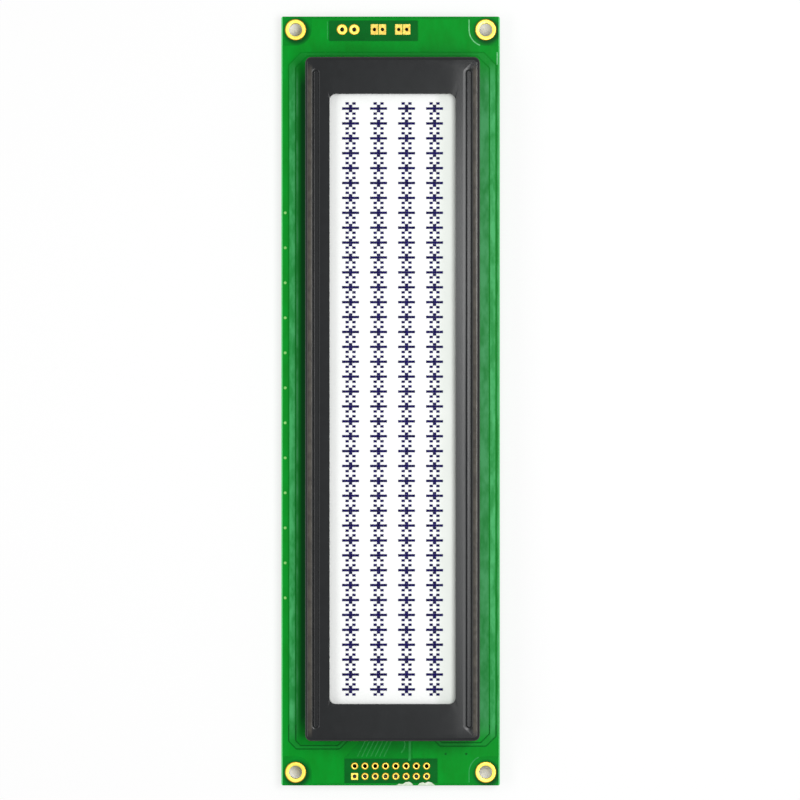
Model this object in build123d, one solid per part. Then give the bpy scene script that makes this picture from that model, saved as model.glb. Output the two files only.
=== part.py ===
from build123d import *
import math
import os

# Character LCD module, four lines of forty characters. All lengths are in millimetres.
# X runs along the lines of text, with the connector at -X. Y points to the top line. Z points to the viewer.
# The origin is the middle of the board in X and Y, at the lowest point of the tabs in Z.
# Sizes grow outward: dots make a character, characters make the window, and the window makes the bezel and board.

# Characters: a five by seven dot matrix. The notches of its asterisk are placed in shares of a dot's pitch.
CHARS_PER_LINE = 40
LINES = 4
DOT_COLUMNS = 5
DOT_ROWS = 7
DOT_PITCH_X = 0.62
DOT_PITCH_Y = 0.83
CHAR_GAP_X = 0.55
CHAR_GAP_Y = 1.05
ASTERISK_ROWS = 5
NOTCH_RATIO_X = 0.6
NOTCH_RATIO_Y = 0.9

# Window
WINDOW_MARGIN_X = 1.775
WINDOW_MARGIN_Y = 2.255
WINDOW_RADIUS = 1.5

# Sheets and glasses, from the board upward
FRAME_FLOOR = 1.9
REFLECTOR_THICKNESS = 0.2
GUIDE_THICKNESS = 3.6
DIFFUSER_THICKNESS = 0.3
SHEET_GAP = 0.05
POLARISER_THICKNESS = 0.2
GLASS_THICKNESS = 1.1
CELL_GAP = 0.1
POLARISER_HEADROOM = 0.25

# Backlight: light guide in a moulded frame, lit from both ends
GUIDE_LAP_X = 4.9
GUIDE_LAP_Y = 0.6
POCKET_CLEARANCE = 0.15
LED_COUNT = 4
LED_PITCH = 7.5
LED_WIDTH = 3.0
LED_HEIGHT = 2.2
LED_DEPTH = 1.0
LED_GAP = 0.15
LED_BOARD_THICKNESS = 0.8
LED_BOARD_END_GAP = 0.5
LED_BOARD_HEADROOM = 0.25
LED_BOARD_CLEARANCE = 0.1
FRAME_END_WALL = 1.5
FRAME_INNER_WALL = 1.0
FRAME_OUTER_RAIL = 0.8
FRAME_CLEARANCE = 0.3
PIN_SIDE = 0.6
PIN_INSET = 2.7
PIN_CLEARANCE = 0.1
PIN_REACH = 1.2
PIN_LAP = 2.5

# Conductive rubber strips
ZEBRA_WIDTH = 2.4
ZEBRA_CLEARANCE = 0.1
ZEBRA_OVERRUN = 4.0

# Glass cell
GLASS_SEAT = 0.8
LEDGE_MARGIN = 0.7
POLARISER_LAP = 1.2
SEAL_INSET = 0.5
SEAL_WIDTH = 1.0
FILL_PORT_WIDTH = 3.0

# Bezel: folded sheet steel
BEZEL_SHEET = 0.5
BEZEL_BEND_RADIUS = 0.8
CORNER_RELIEF = 0.9
GROOVE_WIDTH = 2.4
GROOVE_END_GAP = 2.8
GROOVE_SLOPE = 50.0
LONG_TAB_COUNT = 6
TAB_INSET_LONG = 16.25
SHORT_TAB_COUNT = 2
TAB_INSET_SHORT = 13.4
TAB_WIDTH = 2.0
TAB_REACH = 1.9
TAB_NECK = 0.3
TAB_BEND = 45.0
SLOT_CLEARANCE = 0.2

# Circuit board
BOARD_MARGIN_X = 11.25
BOARD_MARGIN_Y = 5.6
BOARD_THICKNESS = 1.6
BOARD_CORNER_RADIUS = 0.5
BEZEL_SHIFT_X = 0.5
BEZEL_SHIFT_Y = -0.5

# Plated holes: each is drawn as one collar through the board. Round outlines are drawn with a few flats.
PLATING = 0.06
RING_SIDE_COUNT = 20
PAD_SIDE_COUNT = 12
MOUNT_HOLE_D = 3.2
MOUNT_RING_D = 5.05
MOUNT_INSET_X = 3.25
MOUNT_INSET_Y = 3.5
HEADER_ROWS = 2
HEADER_COLUMNS = 8
HEADER_PITCH = 2.54
HEADER_EDGE = 2.25
HEADER_PAD_D = 1.65
HEADER_HOLE_D = 0.95
SUPPLY_COUNT = 2
SUPPLY_EDGE = 3.2
SUPPLY_PAD_D = 2.55
SUPPLY_HOLE_D = 1.0
SUPPLY_GAP = 0.45
SUPPLY_OFFSET_Y = 10.5
JUMPER_LENGTH = 2.65
JUMPER_WIDTH = 1.85
JUMPER_HOLE_D = 0.8
JUMPER_GAP = 0.12
JUMPER_OFFSET_Y = 3.0

# Parts soldered and glued on the back of the board
GLOB_COUNT = 6
GLOB_BAND_COUNT = 3
GLOB_SIDE_COUNT = 24
GLOB_PITCH = 26.0
GLOB_D = 15.0
GLOB_HEIGHT = 1.4
CHIP_LENGTH = 2.0
CHIP_WIDTH = 1.25
RESISTOR_HEIGHT = 0.5
CAPACITOR_HEIGHT = 0.9
CHIP_PITCH = 3.2
RESISTOR_COUNT = 5
CAPACITOR_COUNT = 3
CHIP_ROW_GAP = 4.5
SOLDER_WIDTH = 2.0
SOLDER_TIP_WIDTH = 1.0
SOLDER_HEIGHT = 0.9

# Character grid, worked out from the dots
CHAR_PITCH_X = DOT_COLUMNS * DOT_PITCH_X + CHAR_GAP_X
CHAR_PITCH_Y = DOT_ROWS * DOT_PITCH_Y + CHAR_GAP_Y
ACTIVE_LENGTH = CHARS_PER_LINE * CHAR_PITCH_X - CHAR_GAP_X
ACTIVE_WIDTH = LINES * CHAR_PITCH_Y - CHAR_GAP_Y
WINDOW_LENGTH = ACTIVE_LENGTH + 2 * WINDOW_MARGIN_X
WINDOW_WIDTH = ACTIVE_WIDTH + 2 * WINDOW_MARGIN_Y

# Half sizes of the inner parts, from the window outward
GUIDE_X = WINDOW_LENGTH / 2 + GUIDE_LAP_X
GUIDE_Y = WINDOW_WIDTH / 2 + GUIDE_LAP_Y
LED_FACE_X = GUIDE_X + LED_GAP
LED_BOARD_X = LED_FACE_X + LED_DEPTH
PIN_X = LED_BOARD_X + LED_BOARD_THICKNESS
POCKET_X = PIN_X + LED_BOARD_CLEARANCE
POCKET_Y = GUIDE_Y + POCKET_CLEARANCE
LED_BOARD_Y = POCKET_Y - LED_BOARD_END_GAP
ZEBRA_Y = POCKET_Y + FRAME_INNER_WALL + ZEBRA_CLEARANCE + ZEBRA_WIDTH / 2
ZEBRA_LENGTH = ACTIVE_LENGTH + 2 * ZEBRA_OVERRUN
FRAME_X = POCKET_X + FRAME_END_WALL
FRAME_Y = ZEBRA_Y + ZEBRA_WIDTH / 2 + ZEBRA_CLEARANCE + FRAME_OUTER_RAIL
CAVITY_X = FRAME_X + FRAME_CLEARANCE
CAVITY_Y = FRAME_Y + FRAME_CLEARANCE
BEZEL_X = CAVITY_X + BEZEL_SHEET
BEZEL_Y = CAVITY_Y + BEZEL_SHEET
BOARD_LENGTH = 2 * (BEZEL_X + BOARD_MARGIN_X)
BOARD_WIDTH = 2 * (BEZEL_Y + BOARD_MARGIN_Y)
GLASS_X = POCKET_X + GLASS_SEAT
REAR_GLASS_Y = POCKET_Y + GLASS_SEAT
FRONT_GLASS_Y = ZEBRA_Y + ZEBRA_WIDTH / 2 + LEDGE_MARGIN

# Heights above the board's face
REFLECTOR_Z = FRAME_FLOOR
GUIDE_Z = REFLECTOR_Z + REFLECTOR_THICKNESS
DIFFUSER_Z = GUIDE_Z + GUIDE_THICKNESS
REAR_POLARISER_Z = DIFFUSER_Z + DIFFUSER_THICKNESS + SHEET_GAP
REAR_GLASS_Z = REAR_POLARISER_Z + POLARISER_THICKNESS
CELL_Z = REAR_GLASS_Z + GLASS_THICKNESS
FRONT_GLASS_Z = CELL_Z + CELL_GAP
FRONT_POLARISER_Z = FRONT_GLASS_Z + GLASS_THICKNESS
GROOVE_DEPTH = POLARISER_THICKNESS + POLARISER_HEADROOM
BEZEL_HEIGHT = FRONT_POLARISER_Z + GROOVE_DEPTH + BEZEL_SHEET

# Heights of the board itself
BOARD_BACK_Z = max(TAB_REACH, GLOB_HEIGHT, PIN_REACH, CAPACITOR_HEIGHT)
BOARD_FACE_Z = BOARD_BACK_Z + BOARD_THICKNESS

# Frames in which sub-parts are drawn: the board's face at the middle of the display, and the back of the board
DISPLAY = Pos(BEZEL_SHIFT_X, BEZEL_SHIFT_Y, BOARD_FACE_Z)
BACK = Pos(0, 0, BOARD_BACK_Z)


def evenly(count, pitch):
    """Places of a centred row of count items."""
    return [(i - (count - 1) / 2) * pitch for i in range(count)]


def spread(count, reach):
    """Places of a centred row of count items whose first and last lie at -reach and reach."""
    return evenly(count, 2 * reach / (count - 1))


def slab(half_x, half_y, z, thickness):
    """A flat sheet centred on the display, its underside at height z."""
    return DISPLAY * Pos(0, 0, z) * extrude(Rectangle(2 * half_x, 2 * half_y), thickness)


def frustum(low, high):
    """Solid with flat sides between two outlines at their own heights."""
    return ConvexPolyhedron([tuple(corner) for corner in low.vertices() + high.vertices()])


def flat_sided(diameter, flats=PAD_SIDE_COUNT):
    """Outline with a few flats around a circle of the given diameter."""
    return RegularPolygon(diameter / 2, flats, major_radius=False, rotation=180 / flats)


def mount_places():
    """Centres of the four mounting holes."""
    x = BOARD_LENGTH / 2 - MOUNT_INSET_X
    y = BOARD_WIDTH / 2 - MOUNT_INSET_Y
    return [(x, y), (x, -y), (-x, y), (-x, -y)]


def header_places():
    """Centres of the connector's holes, pin 1 first: the outer row's +Y end."""
    first_x = -BOARD_LENGTH / 2 + HEADER_EDGE
    rows = [first_x + row * HEADER_PITCH for row in range(HEADER_ROWS)]
    return [(x, y) for y in reversed(evenly(HEADER_COLUMNS, HEADER_PITCH)) for x in rows]


def supply_places():
    """Centres of the two round backlight pads."""
    x = BOARD_LENGTH / 2 - SUPPLY_EDGE
    return [(x, SUPPLY_OFFSET_Y + y) for y in reversed(evenly(SUPPLY_COUNT, SUPPLY_PAD_D + SUPPLY_GAP))]


def jumper_places():
    """Centres of the two pairs of jumper pads, in line with the backlight pads."""
    x = BOARD_LENGTH / 2 - SUPPLY_EDGE
    half_pitch = (JUMPER_WIDTH + JUMPER_GAP) / 2
    return [(x, pair + y) for pair in (JUMPER_OFFSET_Y, -JUMPER_OFFSET_Y) for y in (half_pitch, -half_pitch)]


def collars():
    """Every plated hole: its place, the outline of its pad and the outline of its hole, by kind."""
    small = [(place, flat_sided(HEADER_PAD_D), flat_sided(HEADER_HOLE_D)) for place in header_places()]
    pin_1 = (small[0][0], Rectangle(HEADER_PAD_D, HEADER_PAD_D), Circle(HEADER_HOLE_D / 2))
    jumper = Rectangle(JUMPER_LENGTH, JUMPER_WIDTH)
    ring = flat_sided(MOUNT_RING_D, RING_SIDE_COUNT)
    return {
        "mount": [(place, ring, Circle(MOUNT_HOLE_D / 2)) for place in mount_places()],
        "header": [pin_1] + small[1:],
        "supply": [(place, flat_sided(SUPPLY_PAD_D), flat_sided(SUPPLY_HOLE_D)) for place in supply_places()],
        "jumper": [(place, jumper, flat_sided(JUMPER_HOLE_D)) for place in jumper_places()],
    }


def make_collar(place, pad, hole):
    """Plated metal of one hole, standing proud of the board by its plating on both faces."""
    tube = extrude(pad - hole, BOARD_THICKNESS + 2 * PLATING)
    return BACK * Pos(*place, -PLATING) * tube


def pin_places():
    """Centres of the backlight pins, beside the outer face of each LED board."""
    x = PIN_X + PIN_SIDE / 2
    return [(end * x, y) for end in (1, -1) for y in spread(2, LED_BOARD_Y - PIN_INSET)]


def pin_hole():
    """Square hole or channel that a backlight pin passes through."""
    return Rectangle(PIN_SIDE + 2 * PIN_CLEARANCE, PIN_SIDE + 2 * PIN_CLEARANCE)


def tab_places():
    """Middle of each bezel tab in the display's frame, with the turn that points its bend inward, in degrees."""
    mid_x = BEZEL_X - BEZEL_SHEET / 2
    mid_y = BEZEL_Y - BEZEL_SHEET / 2
    along_x = spread(LONG_TAB_COUNT, BEZEL_X - TAB_INSET_LONG)
    along_y = spread(SHORT_TAB_COUNT, BEZEL_Y - TAB_INSET_SHORT)
    long_sides = [(x, y, turn) for y, turn in ((mid_y, 180), (-mid_y, 0)) for x in along_x]
    short_sides = [(x, y, turn) for x, turn in ((mid_x, 90), (-mid_x, -90)) for y in along_y]
    return long_sides + short_sides


def make_board():
    """Circuit board with every plated hole, pin hole and tab slot."""
    blank = extrude(RectangleRounded(BOARD_LENGTH, BOARD_WIDTH, BOARD_CORNER_RADIUS), BOARD_THICKNESS)
    cuts = Sketch()
    for kind in collars().values():
        for place, pad, _ in kind:
            cuts += Pos(*place) * pad
    for x, y in pin_places():
        cuts += Pos(BEZEL_SHIFT_X + x, BEZEL_SHIFT_Y + y) * pin_hole()
    slot = Rectangle(TAB_WIDTH + 2 * SLOT_CLEARANCE, BEZEL_SHEET + 2 * SLOT_CLEARANCE)
    for x, y, turn in tab_places():
        cuts += Pos(BEZEL_SHIFT_X + x, BEZEL_SHIFT_Y + y) * Rot(0, 0, turn) * slot
    return BACK * (blank - extrude(cuts, BOARD_THICKNESS))


def asterisk():
    """Six-armed asterisk on the dot matrix, drawn as one outline."""
    tip_y = ASTERISK_ROWS / 2 * DOT_PITCH_Y
    corner_x = DOT_COLUMNS / 2 * DOT_PITCH_X
    corner_y = tip_y - DOT_PITCH_Y
    waist_x = corner_x - DOT_PITCH_X
    notch = (NOTCH_RATIO_X * DOT_PITCH_X, NOTCH_RATIO_Y * DOT_PITCH_Y)
    quarter = [(0, tip_y), notch, (corner_x, corner_y), (waist_x, 0)]
    right = quarter + [(x, -y) for x, y in reversed(quarter[:-1])]
    left = [(-x, y) for x, y in reversed(right[1:-1])]
    return make_face(Polyline(*right, *left, close=True))


def make_character_line(y):
    """One line of asterisks, each a patch of turned liquid crystal that fills the gap between the glasses."""
    patch = extrude(asterisk(), CELL_GAP)
    return Compound([DISPLAY * Pos(x, y, CELL_Z) * patch for x in evenly(CHARS_PER_LINE, CHAR_PITCH_X)])


def make_cell_seal():
    """Glue ring between the glasses, with the fill port open at the +X end."""
    outer_x = GLASS_X - SEAL_INSET
    outer_y = REAR_GLASS_Y - SEAL_INSET
    ring = Rectangle(2 * outer_x, 2 * outer_y) - Rectangle(2 * (outer_x - SEAL_WIDTH), 2 * (outer_y - SEAL_WIDTH))
    port = Pos(outer_x - SEAL_WIDTH / 2, 0) * Rectangle(SEAL_WIDTH, FILL_PORT_WIDTH)
    return DISPLAY * Pos(0, 0, CELL_Z) * extrude(ring - port, CELL_GAP)


def make_end_seal():
    """Plug that closes the fill port and runs out to the glass edge."""
    length = SEAL_WIDTH + SEAL_INSET
    return DISPLAY * Pos(GLASS_X - length / 2, 0, CELL_Z) * extrude(Rectangle(length, FILL_PORT_WIDTH), CELL_GAP)


def make_zebra_strip(side):
    """Rubber strip that joins the glass ledge to the board."""
    strip = extrude(Rectangle(ZEBRA_LENGTH, ZEBRA_WIDTH), FRONT_GLASS_Z)
    return DISPLAY * Pos(0, side * ZEBRA_Y, 0) * strip


def make_backlight_frame():
    """Moulded tray: a pocket for the light guide, through slots for the rubber strips, channels for the pins."""
    body = extrude(Rectangle(2 * FRAME_X, 2 * FRAME_Y), REAR_GLASS_Z)
    pocket = Pos(0, 0, FRAME_FLOOR) * extrude(Rectangle(2 * POCKET_X, 2 * POCKET_Y), REAR_GLASS_Z - FRAME_FLOOR)
    slot = Rectangle(ZEBRA_LENGTH + 2 * ZEBRA_CLEARANCE, ZEBRA_WIDTH + 2 * ZEBRA_CLEARANCE)
    through = Pos(0, ZEBRA_Y) * slot + Pos(0, -ZEBRA_Y) * slot
    for place in pin_places():
        through += Pos(*place) * pin_hole()
    return DISPLAY * (body - pocket - extrude(through, REAR_GLASS_Z))


def make_led_board(end):
    """Strip of board that stands at one end of the light guide."""
    height = REAR_GLASS_Z - FRAME_FLOOR - LED_BOARD_HEADROOM
    strip = extrude(Rectangle(LED_BOARD_THICKNESS, 2 * LED_BOARD_Y), height)
    return DISPLAY * Pos(end * (LED_BOARD_X + LED_BOARD_THICKNESS / 2), 0, FRAME_FLOOR) * strip


def make_led(end, y):
    """One side-emitting LED on its board, facing the light guide's edge."""
    middle_z = GUIDE_Z + GUIDE_THICKNESS / 2
    return DISPLAY * Pos(end * (LED_FACE_X + LED_DEPTH / 2), y, middle_z) * Box(LED_DEPTH, LED_WIDTH, LED_HEIGHT)


def make_backlight_pin(x, y):
    """Square pin from the back of the board up the outer face of an LED board."""
    length = PIN_REACH + BOARD_THICKNESS + FRAME_FLOOR + PIN_LAP
    return DISPLAY * Pos(x, y, -BOARD_THICKNESS - PIN_REACH) * extrude(Rectangle(PIN_SIDE, PIN_SIDE), length)


def make_solder_joint(x, y):
    """Solder that tapers from the back of the board down one backlight pin."""
    base = Rectangle(SOLDER_WIDTH, SOLDER_WIDTH)
    tip = Pos(0, 0, -SOLDER_HEIGHT) * Rectangle(SOLDER_TIP_WIDTH, SOLDER_TIP_WIDTH)
    pin = extrude(Rectangle(PIN_SIDE, PIN_SIDE), -SOLDER_HEIGHT)
    return DISPLAY * Pos(x, y, -BOARD_THICKNESS) * (frustum(tip, base) - pin)


def blunt_slot(length, width):
    """Long slot whose ends are half octagons."""
    corner = width * (1 - math.tan(math.pi / 8)) / 2
    return chamfer(Rectangle(length, width).vertices(), corner)


def groove_tool(width, length):
    """Long channel whose walls slope in towards its floor, drawn downward from height zero."""
    narrower = 2 * GROOVE_DEPTH / math.tan(math.radians(GROOVE_SLOPE))
    floor = Pos(0, 0, -GROOVE_DEPTH) * blunt_slot(length - narrower, width - narrower)
    return frustum(floor, blunt_slot(length, width))


def make_tab():
    """One tab: straight through the board, then bent towards +Y so that it locks behind the board."""
    half = BEZEL_SHEET / 2
    bend = math.radians(TAB_BEND)
    mitre = half * math.tan(bend / 2)
    knee_z = -BOARD_THICKNESS - TAB_NECK
    half_y = half * math.cos(bend)
    half_z = half * math.sin(bend)
    tip_z = half_z - BOARD_THICKNESS - TAB_REACH
    tip_y = (knee_z - tip_z) * math.tan(bend)
    outer = [(-half, 0), (-half, knee_z - mitre), (tip_y - half_y, tip_z - half_z)]
    inner = [(tip_y + half_y, tip_z + half_z), (half, knee_z + mitre), (half, 0)]
    return extrude(Plane.YZ * make_face(Polyline(*outer, *inner, close=True)), TAB_WIDTH / 2, both=True)


def make_bezel():
    """Sheet steel bezel: four walls bent down from the front, a window, two pressed grooves and bent tabs."""
    underside = BEZEL_HEIGHT - BEZEL_SHEET
    outer = extrude(Rectangle(2 * BEZEL_X, 2 * BEZEL_Y), BEZEL_HEIGHT)
    outer = fillet(outer.faces().sort_by(Axis.Z)[-1].edges(), BEZEL_BEND_RADIUS)
    inner = extrude(Rectangle(2 * CAVITY_X, 2 * CAVITY_Y), underside)
    inner = fillet(inner.faces().sort_by(Axis.Z)[-1].edges(), BEZEL_BEND_RADIUS - BEZEL_SHEET)
    shell = outer - inner

    groove_length = 2 * (BEZEL_X - GROOVE_END_GAP)
    wrap = 2 * BEZEL_SHEET * math.tan(math.radians(GROOVE_SLOPE / 2))
    for side in (1, -1):
        shell += Pos(0, side * ZEBRA_Y, underside) * groove_tool(GROOVE_WIDTH + wrap, groove_length + wrap)
        shell -= Pos(0, side * ZEBRA_Y, BEZEL_HEIGHT) * groove_tool(GROOVE_WIDTH, groove_length)

    window = extrude(RectangleRounded(WINDOW_LENGTH, WINDOW_WIDTH, WINDOW_RADIUS), BEZEL_SHEET)
    shell -= Pos(0, 0, underside) * window
    relief = extrude(Rectangle(CORNER_RELIEF, CORNER_RELIEF), BEZEL_HEIGHT)
    for x in (1, -1):
        for y in (1, -1):
            shell -= Pos(x * (BEZEL_X - CORNER_RELIEF / 2), y * (BEZEL_Y - CORNER_RELIEF / 2)) * relief
    tab = make_tab()
    for x, y, turn in tab_places():
        shell += Pos(x, y) * Rot(0, 0, turn) * tab
    return DISPLAY * shell


def make_glob_top(x):
    """Epoxy dome over a bare chip, hanging under the board: flat-sided bands on a sphere, up to its crown."""
    rim = GLOB_D / 2
    sphere_r = (rim**2 + GLOB_HEIGHT**2) / (2 * GLOB_HEIGHT)
    points = [(0, 0, -GLOB_HEIGHT)]
    for band in range(1, GLOB_BAND_COUNT + 1):
        turn = math.asin(rim / sphere_r) * band / GLOB_BAND_COUNT
        ring = RegularPolygon(sphere_r * math.sin(turn), GLOB_SIDE_COUNT)
        points += [(v.X, v.Y, sphere_r * (1 - math.cos(turn)) - GLOB_HEIGHT) for v in ring.vertices()]
    return BACK * Pos(x, 0, 0) * ConvexPolyhedron(points)


def make_chips(count, height, side):
    """Rows of small soldered parts beside the first and last dome."""
    chip = extrude(Rectangle(CHIP_WIDTH, CHIP_LENGTH), -height)
    domes = evenly(GLOB_COUNT, GLOB_PITCH)
    y = side * (GLOB_D / 2 + CHIP_ROW_GAP + CHIP_LENGTH / 2)
    places = [(end + x, y) for end in (domes[0], domes[-1]) for x in evenly(count, CHIP_PITCH)]
    return Compound([BACK * Pos(*place) * chip for place in places])


def board_parts():
    """The board and its plated metal."""
    metal = {kind: [make_collar(*collar) for collar in group] for kind, group in collars().items()}
    parts = {"pcb": make_board(), "header_pads": Compound(metal["header"])}
    names = {"mount": "mounting_hole_ring", "supply": "backlight_pad", "jumper": "jumper_pad"}
    for kind, name in names.items():
        for number, collar in enumerate(metal[kind], 1):
            parts[f"{name}_{number}"] = collar
    return parts


def cell_parts():
    """The bezel and the glass cell that shows in its window."""
    lap_x = WINDOW_LENGTH / 2 + POLARISER_LAP
    lap_y = WINDOW_WIDTH / 2 + POLARISER_LAP
    parts = {
        "bezel": make_bezel(),
        "front_polariser": slab(lap_x, lap_y, FRONT_POLARISER_Z, POLARISER_THICKNESS),
        "front_glass": slab(GLASS_X, FRONT_GLASS_Y, FRONT_GLASS_Z, GLASS_THICKNESS),
        "cell_seal": make_cell_seal(),
        "end_seal": make_end_seal(),
        "rear_glass": slab(GLASS_X, REAR_GLASS_Y, REAR_GLASS_Z, GLASS_THICKNESS),
        "rear_polariser": slab(GUIDE_X, GUIDE_Y, REAR_POLARISER_Z, POLARISER_THICKNESS),
    }
    for number, y in enumerate(reversed(evenly(LINES, CHAR_PITCH_Y)), 1):
        parts[f"character_line_{number}"] = make_character_line(y)
    return parts


def backlight_parts():
    """The backlight's frame, sheets, LEDs and pins, and the rubber strips beside them."""
    parts = {
        "backlight_frame": make_backlight_frame(),
        "diffuser_sheet": slab(GUIDE_X, GUIDE_Y, DIFFUSER_Z, DIFFUSER_THICKNESS),
        "light_guide": slab(GUIDE_X, GUIDE_Y, GUIDE_Z, GUIDE_THICKNESS),
        "reflector_sheet": slab(GUIDE_X, GUIDE_Y, REFLECTOR_Z, REFLECTOR_THICKNESS),
    }
    leds = []
    for number, end in enumerate((1, -1), 1):
        parts[f"zebra_strip_{number}"] = make_zebra_strip(end)
        parts[f"led_board_{number}"] = make_led_board(end)
        leds += [make_led(end, y) for y in evenly(LED_COUNT, LED_PITCH)]
    for number, led in enumerate(leds, 1):
        parts[f"led_{number}"] = led
    for number, place in enumerate(pin_places(), 1):
        parts[f"backlight_pin_{number}"] = make_backlight_pin(*place)
    return parts


def back_parts():
    """What is soldered or glued behind the board."""
    parts = {
        "solder_joints": Compound([make_solder_joint(*place) for place in pin_places()]),
        "chip_resistors": make_chips(RESISTOR_COUNT, RESISTOR_HEIGHT, 1),
        "chip_capacitors": make_chips(CAPACITOR_COUNT, CAPACITOR_HEIGHT, -1),
    }
    for number, x in enumerate(evenly(GLOB_COUNT, GLOB_PITCH), 1):
        parts[f"glob_top_{number}"] = make_glob_top(x)
    return parts


os.makedirs("parts", exist_ok=True)
for group in (board_parts(), cell_parts(), backlight_parts(), back_parts()):
    for name, solid in group.items():
        export_step(solid, f"parts/{name}.step")
        print(name, round(solid.volume, 2))
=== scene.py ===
"""Dress the character display module: a green board, a black folded bezel and a white window of asterisks.

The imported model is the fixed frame. X runs along the lines of text with the header at -X, Y points to the top
line and Z points to the viewer. Sizes in this file are millimetres; MM turns them into the frame's metres.
"""

import logging
import math
import random
from dataclasses import dataclass, field
from enum import Enum
from functools import partial

import bmesh
import bpy
from bmesh.types import BMesh, BMVert
from bpy.types import Material, Mesh, Node, NodeSocket, NodeTree, Object
from mathutils import Matrix, Vector

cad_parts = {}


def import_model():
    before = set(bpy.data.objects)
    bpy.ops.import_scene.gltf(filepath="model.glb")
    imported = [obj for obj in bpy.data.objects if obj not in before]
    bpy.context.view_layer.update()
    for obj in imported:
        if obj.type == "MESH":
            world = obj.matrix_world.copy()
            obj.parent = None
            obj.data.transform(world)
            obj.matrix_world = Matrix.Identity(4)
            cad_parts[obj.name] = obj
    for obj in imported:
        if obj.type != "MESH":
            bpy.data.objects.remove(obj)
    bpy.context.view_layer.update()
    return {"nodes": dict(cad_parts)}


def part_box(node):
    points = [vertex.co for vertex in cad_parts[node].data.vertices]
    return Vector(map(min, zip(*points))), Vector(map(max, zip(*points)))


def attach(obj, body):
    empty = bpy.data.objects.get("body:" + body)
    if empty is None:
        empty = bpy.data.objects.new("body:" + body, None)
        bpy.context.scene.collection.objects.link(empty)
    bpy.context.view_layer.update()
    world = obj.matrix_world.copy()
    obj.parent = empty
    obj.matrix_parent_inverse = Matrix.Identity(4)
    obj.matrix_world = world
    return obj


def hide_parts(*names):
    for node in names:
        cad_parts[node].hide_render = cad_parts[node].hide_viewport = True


MM = 0.001
LOG = logging.getLogger("display_module")
MITRE_LIMIT = 0.3

Point = tuple[float, float]
Loop = list[Point]


class Slot(Enum):
    """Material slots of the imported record."""

    BOARD_MASK = "board_mask"
    GOLD = "gold_plating"
    BEZEL_PAINT = "bezel_paint"
    POLARISER = "polariser_film"
    LIQUID_CRYSTAL = "liquid_crystal"
    SOLDER = "solder"
    EPOXY = "epoxy_black"
    RESISTOR = "chip_resistor_body"
    CAPACITOR = "chip_capacitor_body"


class Side(Enum):
    """The two faces of the board, as the direction in which each one looks along Z."""

    FRONT = 1
    BACK = -1


def linear(hex_colour: str) -> tuple[float, float, float, float]:
    """Turn an sRGB hex colour into linear light.

    Args:
        hex_colour: A colour such as "#12ab3c".

    Returns:
        Red, green, blue and alpha, linear.
    """
    channels = [int(hex_colour[i:i + 2], 16) / 255 for i in (1, 3, 5)]
    red, green, blue = [c / 12.92 if c <= 0.04045 else ((c + 0.055) / 1.055) ** 2.4 for c in channels]
    return red, green, blue, 1.0


def add_node(tree: NodeTree, kind: str, settings: dict | None = None, links: dict | None = None) -> Node:
    """Add a shader node with its settings and links.

    Args:
        tree: Node tree of a material or of the world.
        kind: Type name of the node, after its "ShaderNode".
        settings: Values by attribute name, or by input name or number.
        links: What feeds each input, by its name or number: a socket, or a node for its first output.

    Returns:
        The new node.
    """
    node = tree.nodes.new("ShaderNode" + kind)
    for key, value in (settings or {}).items():
        if isinstance(key, str) and hasattr(node, key):
            setattr(node, key, value)
        else:
            node.inputs[key].default_value = value
    for key, source in (links or {}).items():
        socket = source.outputs[0] if isinstance(source, Node) else source
        tree.links.new(socket, node.inputs[key])
    return node


def place_parts(tree: NodeTree) -> list[NodeSocket]:
    """X, Y and Z of the shaded point in the frame, in metres."""
    return add_node(tree, "SeparateXYZ", links={0: add_node(tree, "TexCoord").outputs["Object"]}).outputs


@dataclass(frozen=True)
class Patch:
    """Another colour on a part of a surface; each kind of patch finds its own part.

    Attributes:
        colour: Its sRGB colour.
        second: Colour that the grain mixes in; without one the patch is even.
    """

    colour: str
    second: str = ""

    def share(self, tree: NodeTree) -> NodeSocket:
        """Return 1 on the patch and 0 elsewhere."""
        raise NotImplementedError


@dataclass(frozen=True)
class Bands(Patch):
    """Soft-edged bands that run along X.

    Attributes:
        bands: Middle and half width of each band, along Y, in millimetres.
        fade: Distances from the middle along X between which the bands die out, in millimetres.
        core: Share of the half width over which a band is full.
    """

    bands: tuple[Point, ...] = ()
    fade: Point = (78.0, 84.0)
    core: float = 0.4

    def share(self, tree: NodeTree) -> NodeSocket:
        """Find the bands.

        Args:
            tree: The material's nodes.

        Returns:
            1 in the middle of the bands, and 0 outside them and at their ends.
        """
        add = partial(add_node, tree)
        x, y, _ = place_parts(tree)
        along = add("Math", {"operation": "ABSOLUTE"}, {0: x})
        full, none = [limit * MM for limit in self.fade]
        fade = add("MapRange", {"From Min": none, "From Max": full}, {"Value": along})
        total = None
        for middle, half in self.bands:
            offset = add("Math", {"operation": "SUBTRACT", 1: middle * MM}, {0: y})
            size = add("Math", {"operation": "ABSOLUTE"}, {0: offset})
            edges = {"From Min": half * MM, "From Max": self.core * half * MM}
            band = add("MapRange", {"interpolation_type": "SMOOTHSTEP", **edges}, {"Value": size})
            total = add("Math", {"operation": "MAXIMUM"}, {0: total, 1: band}) if total else band
        return add("Math", {"operation": "MULTIPLY"}, {0: fade, 1: total}).outputs[0]


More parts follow.
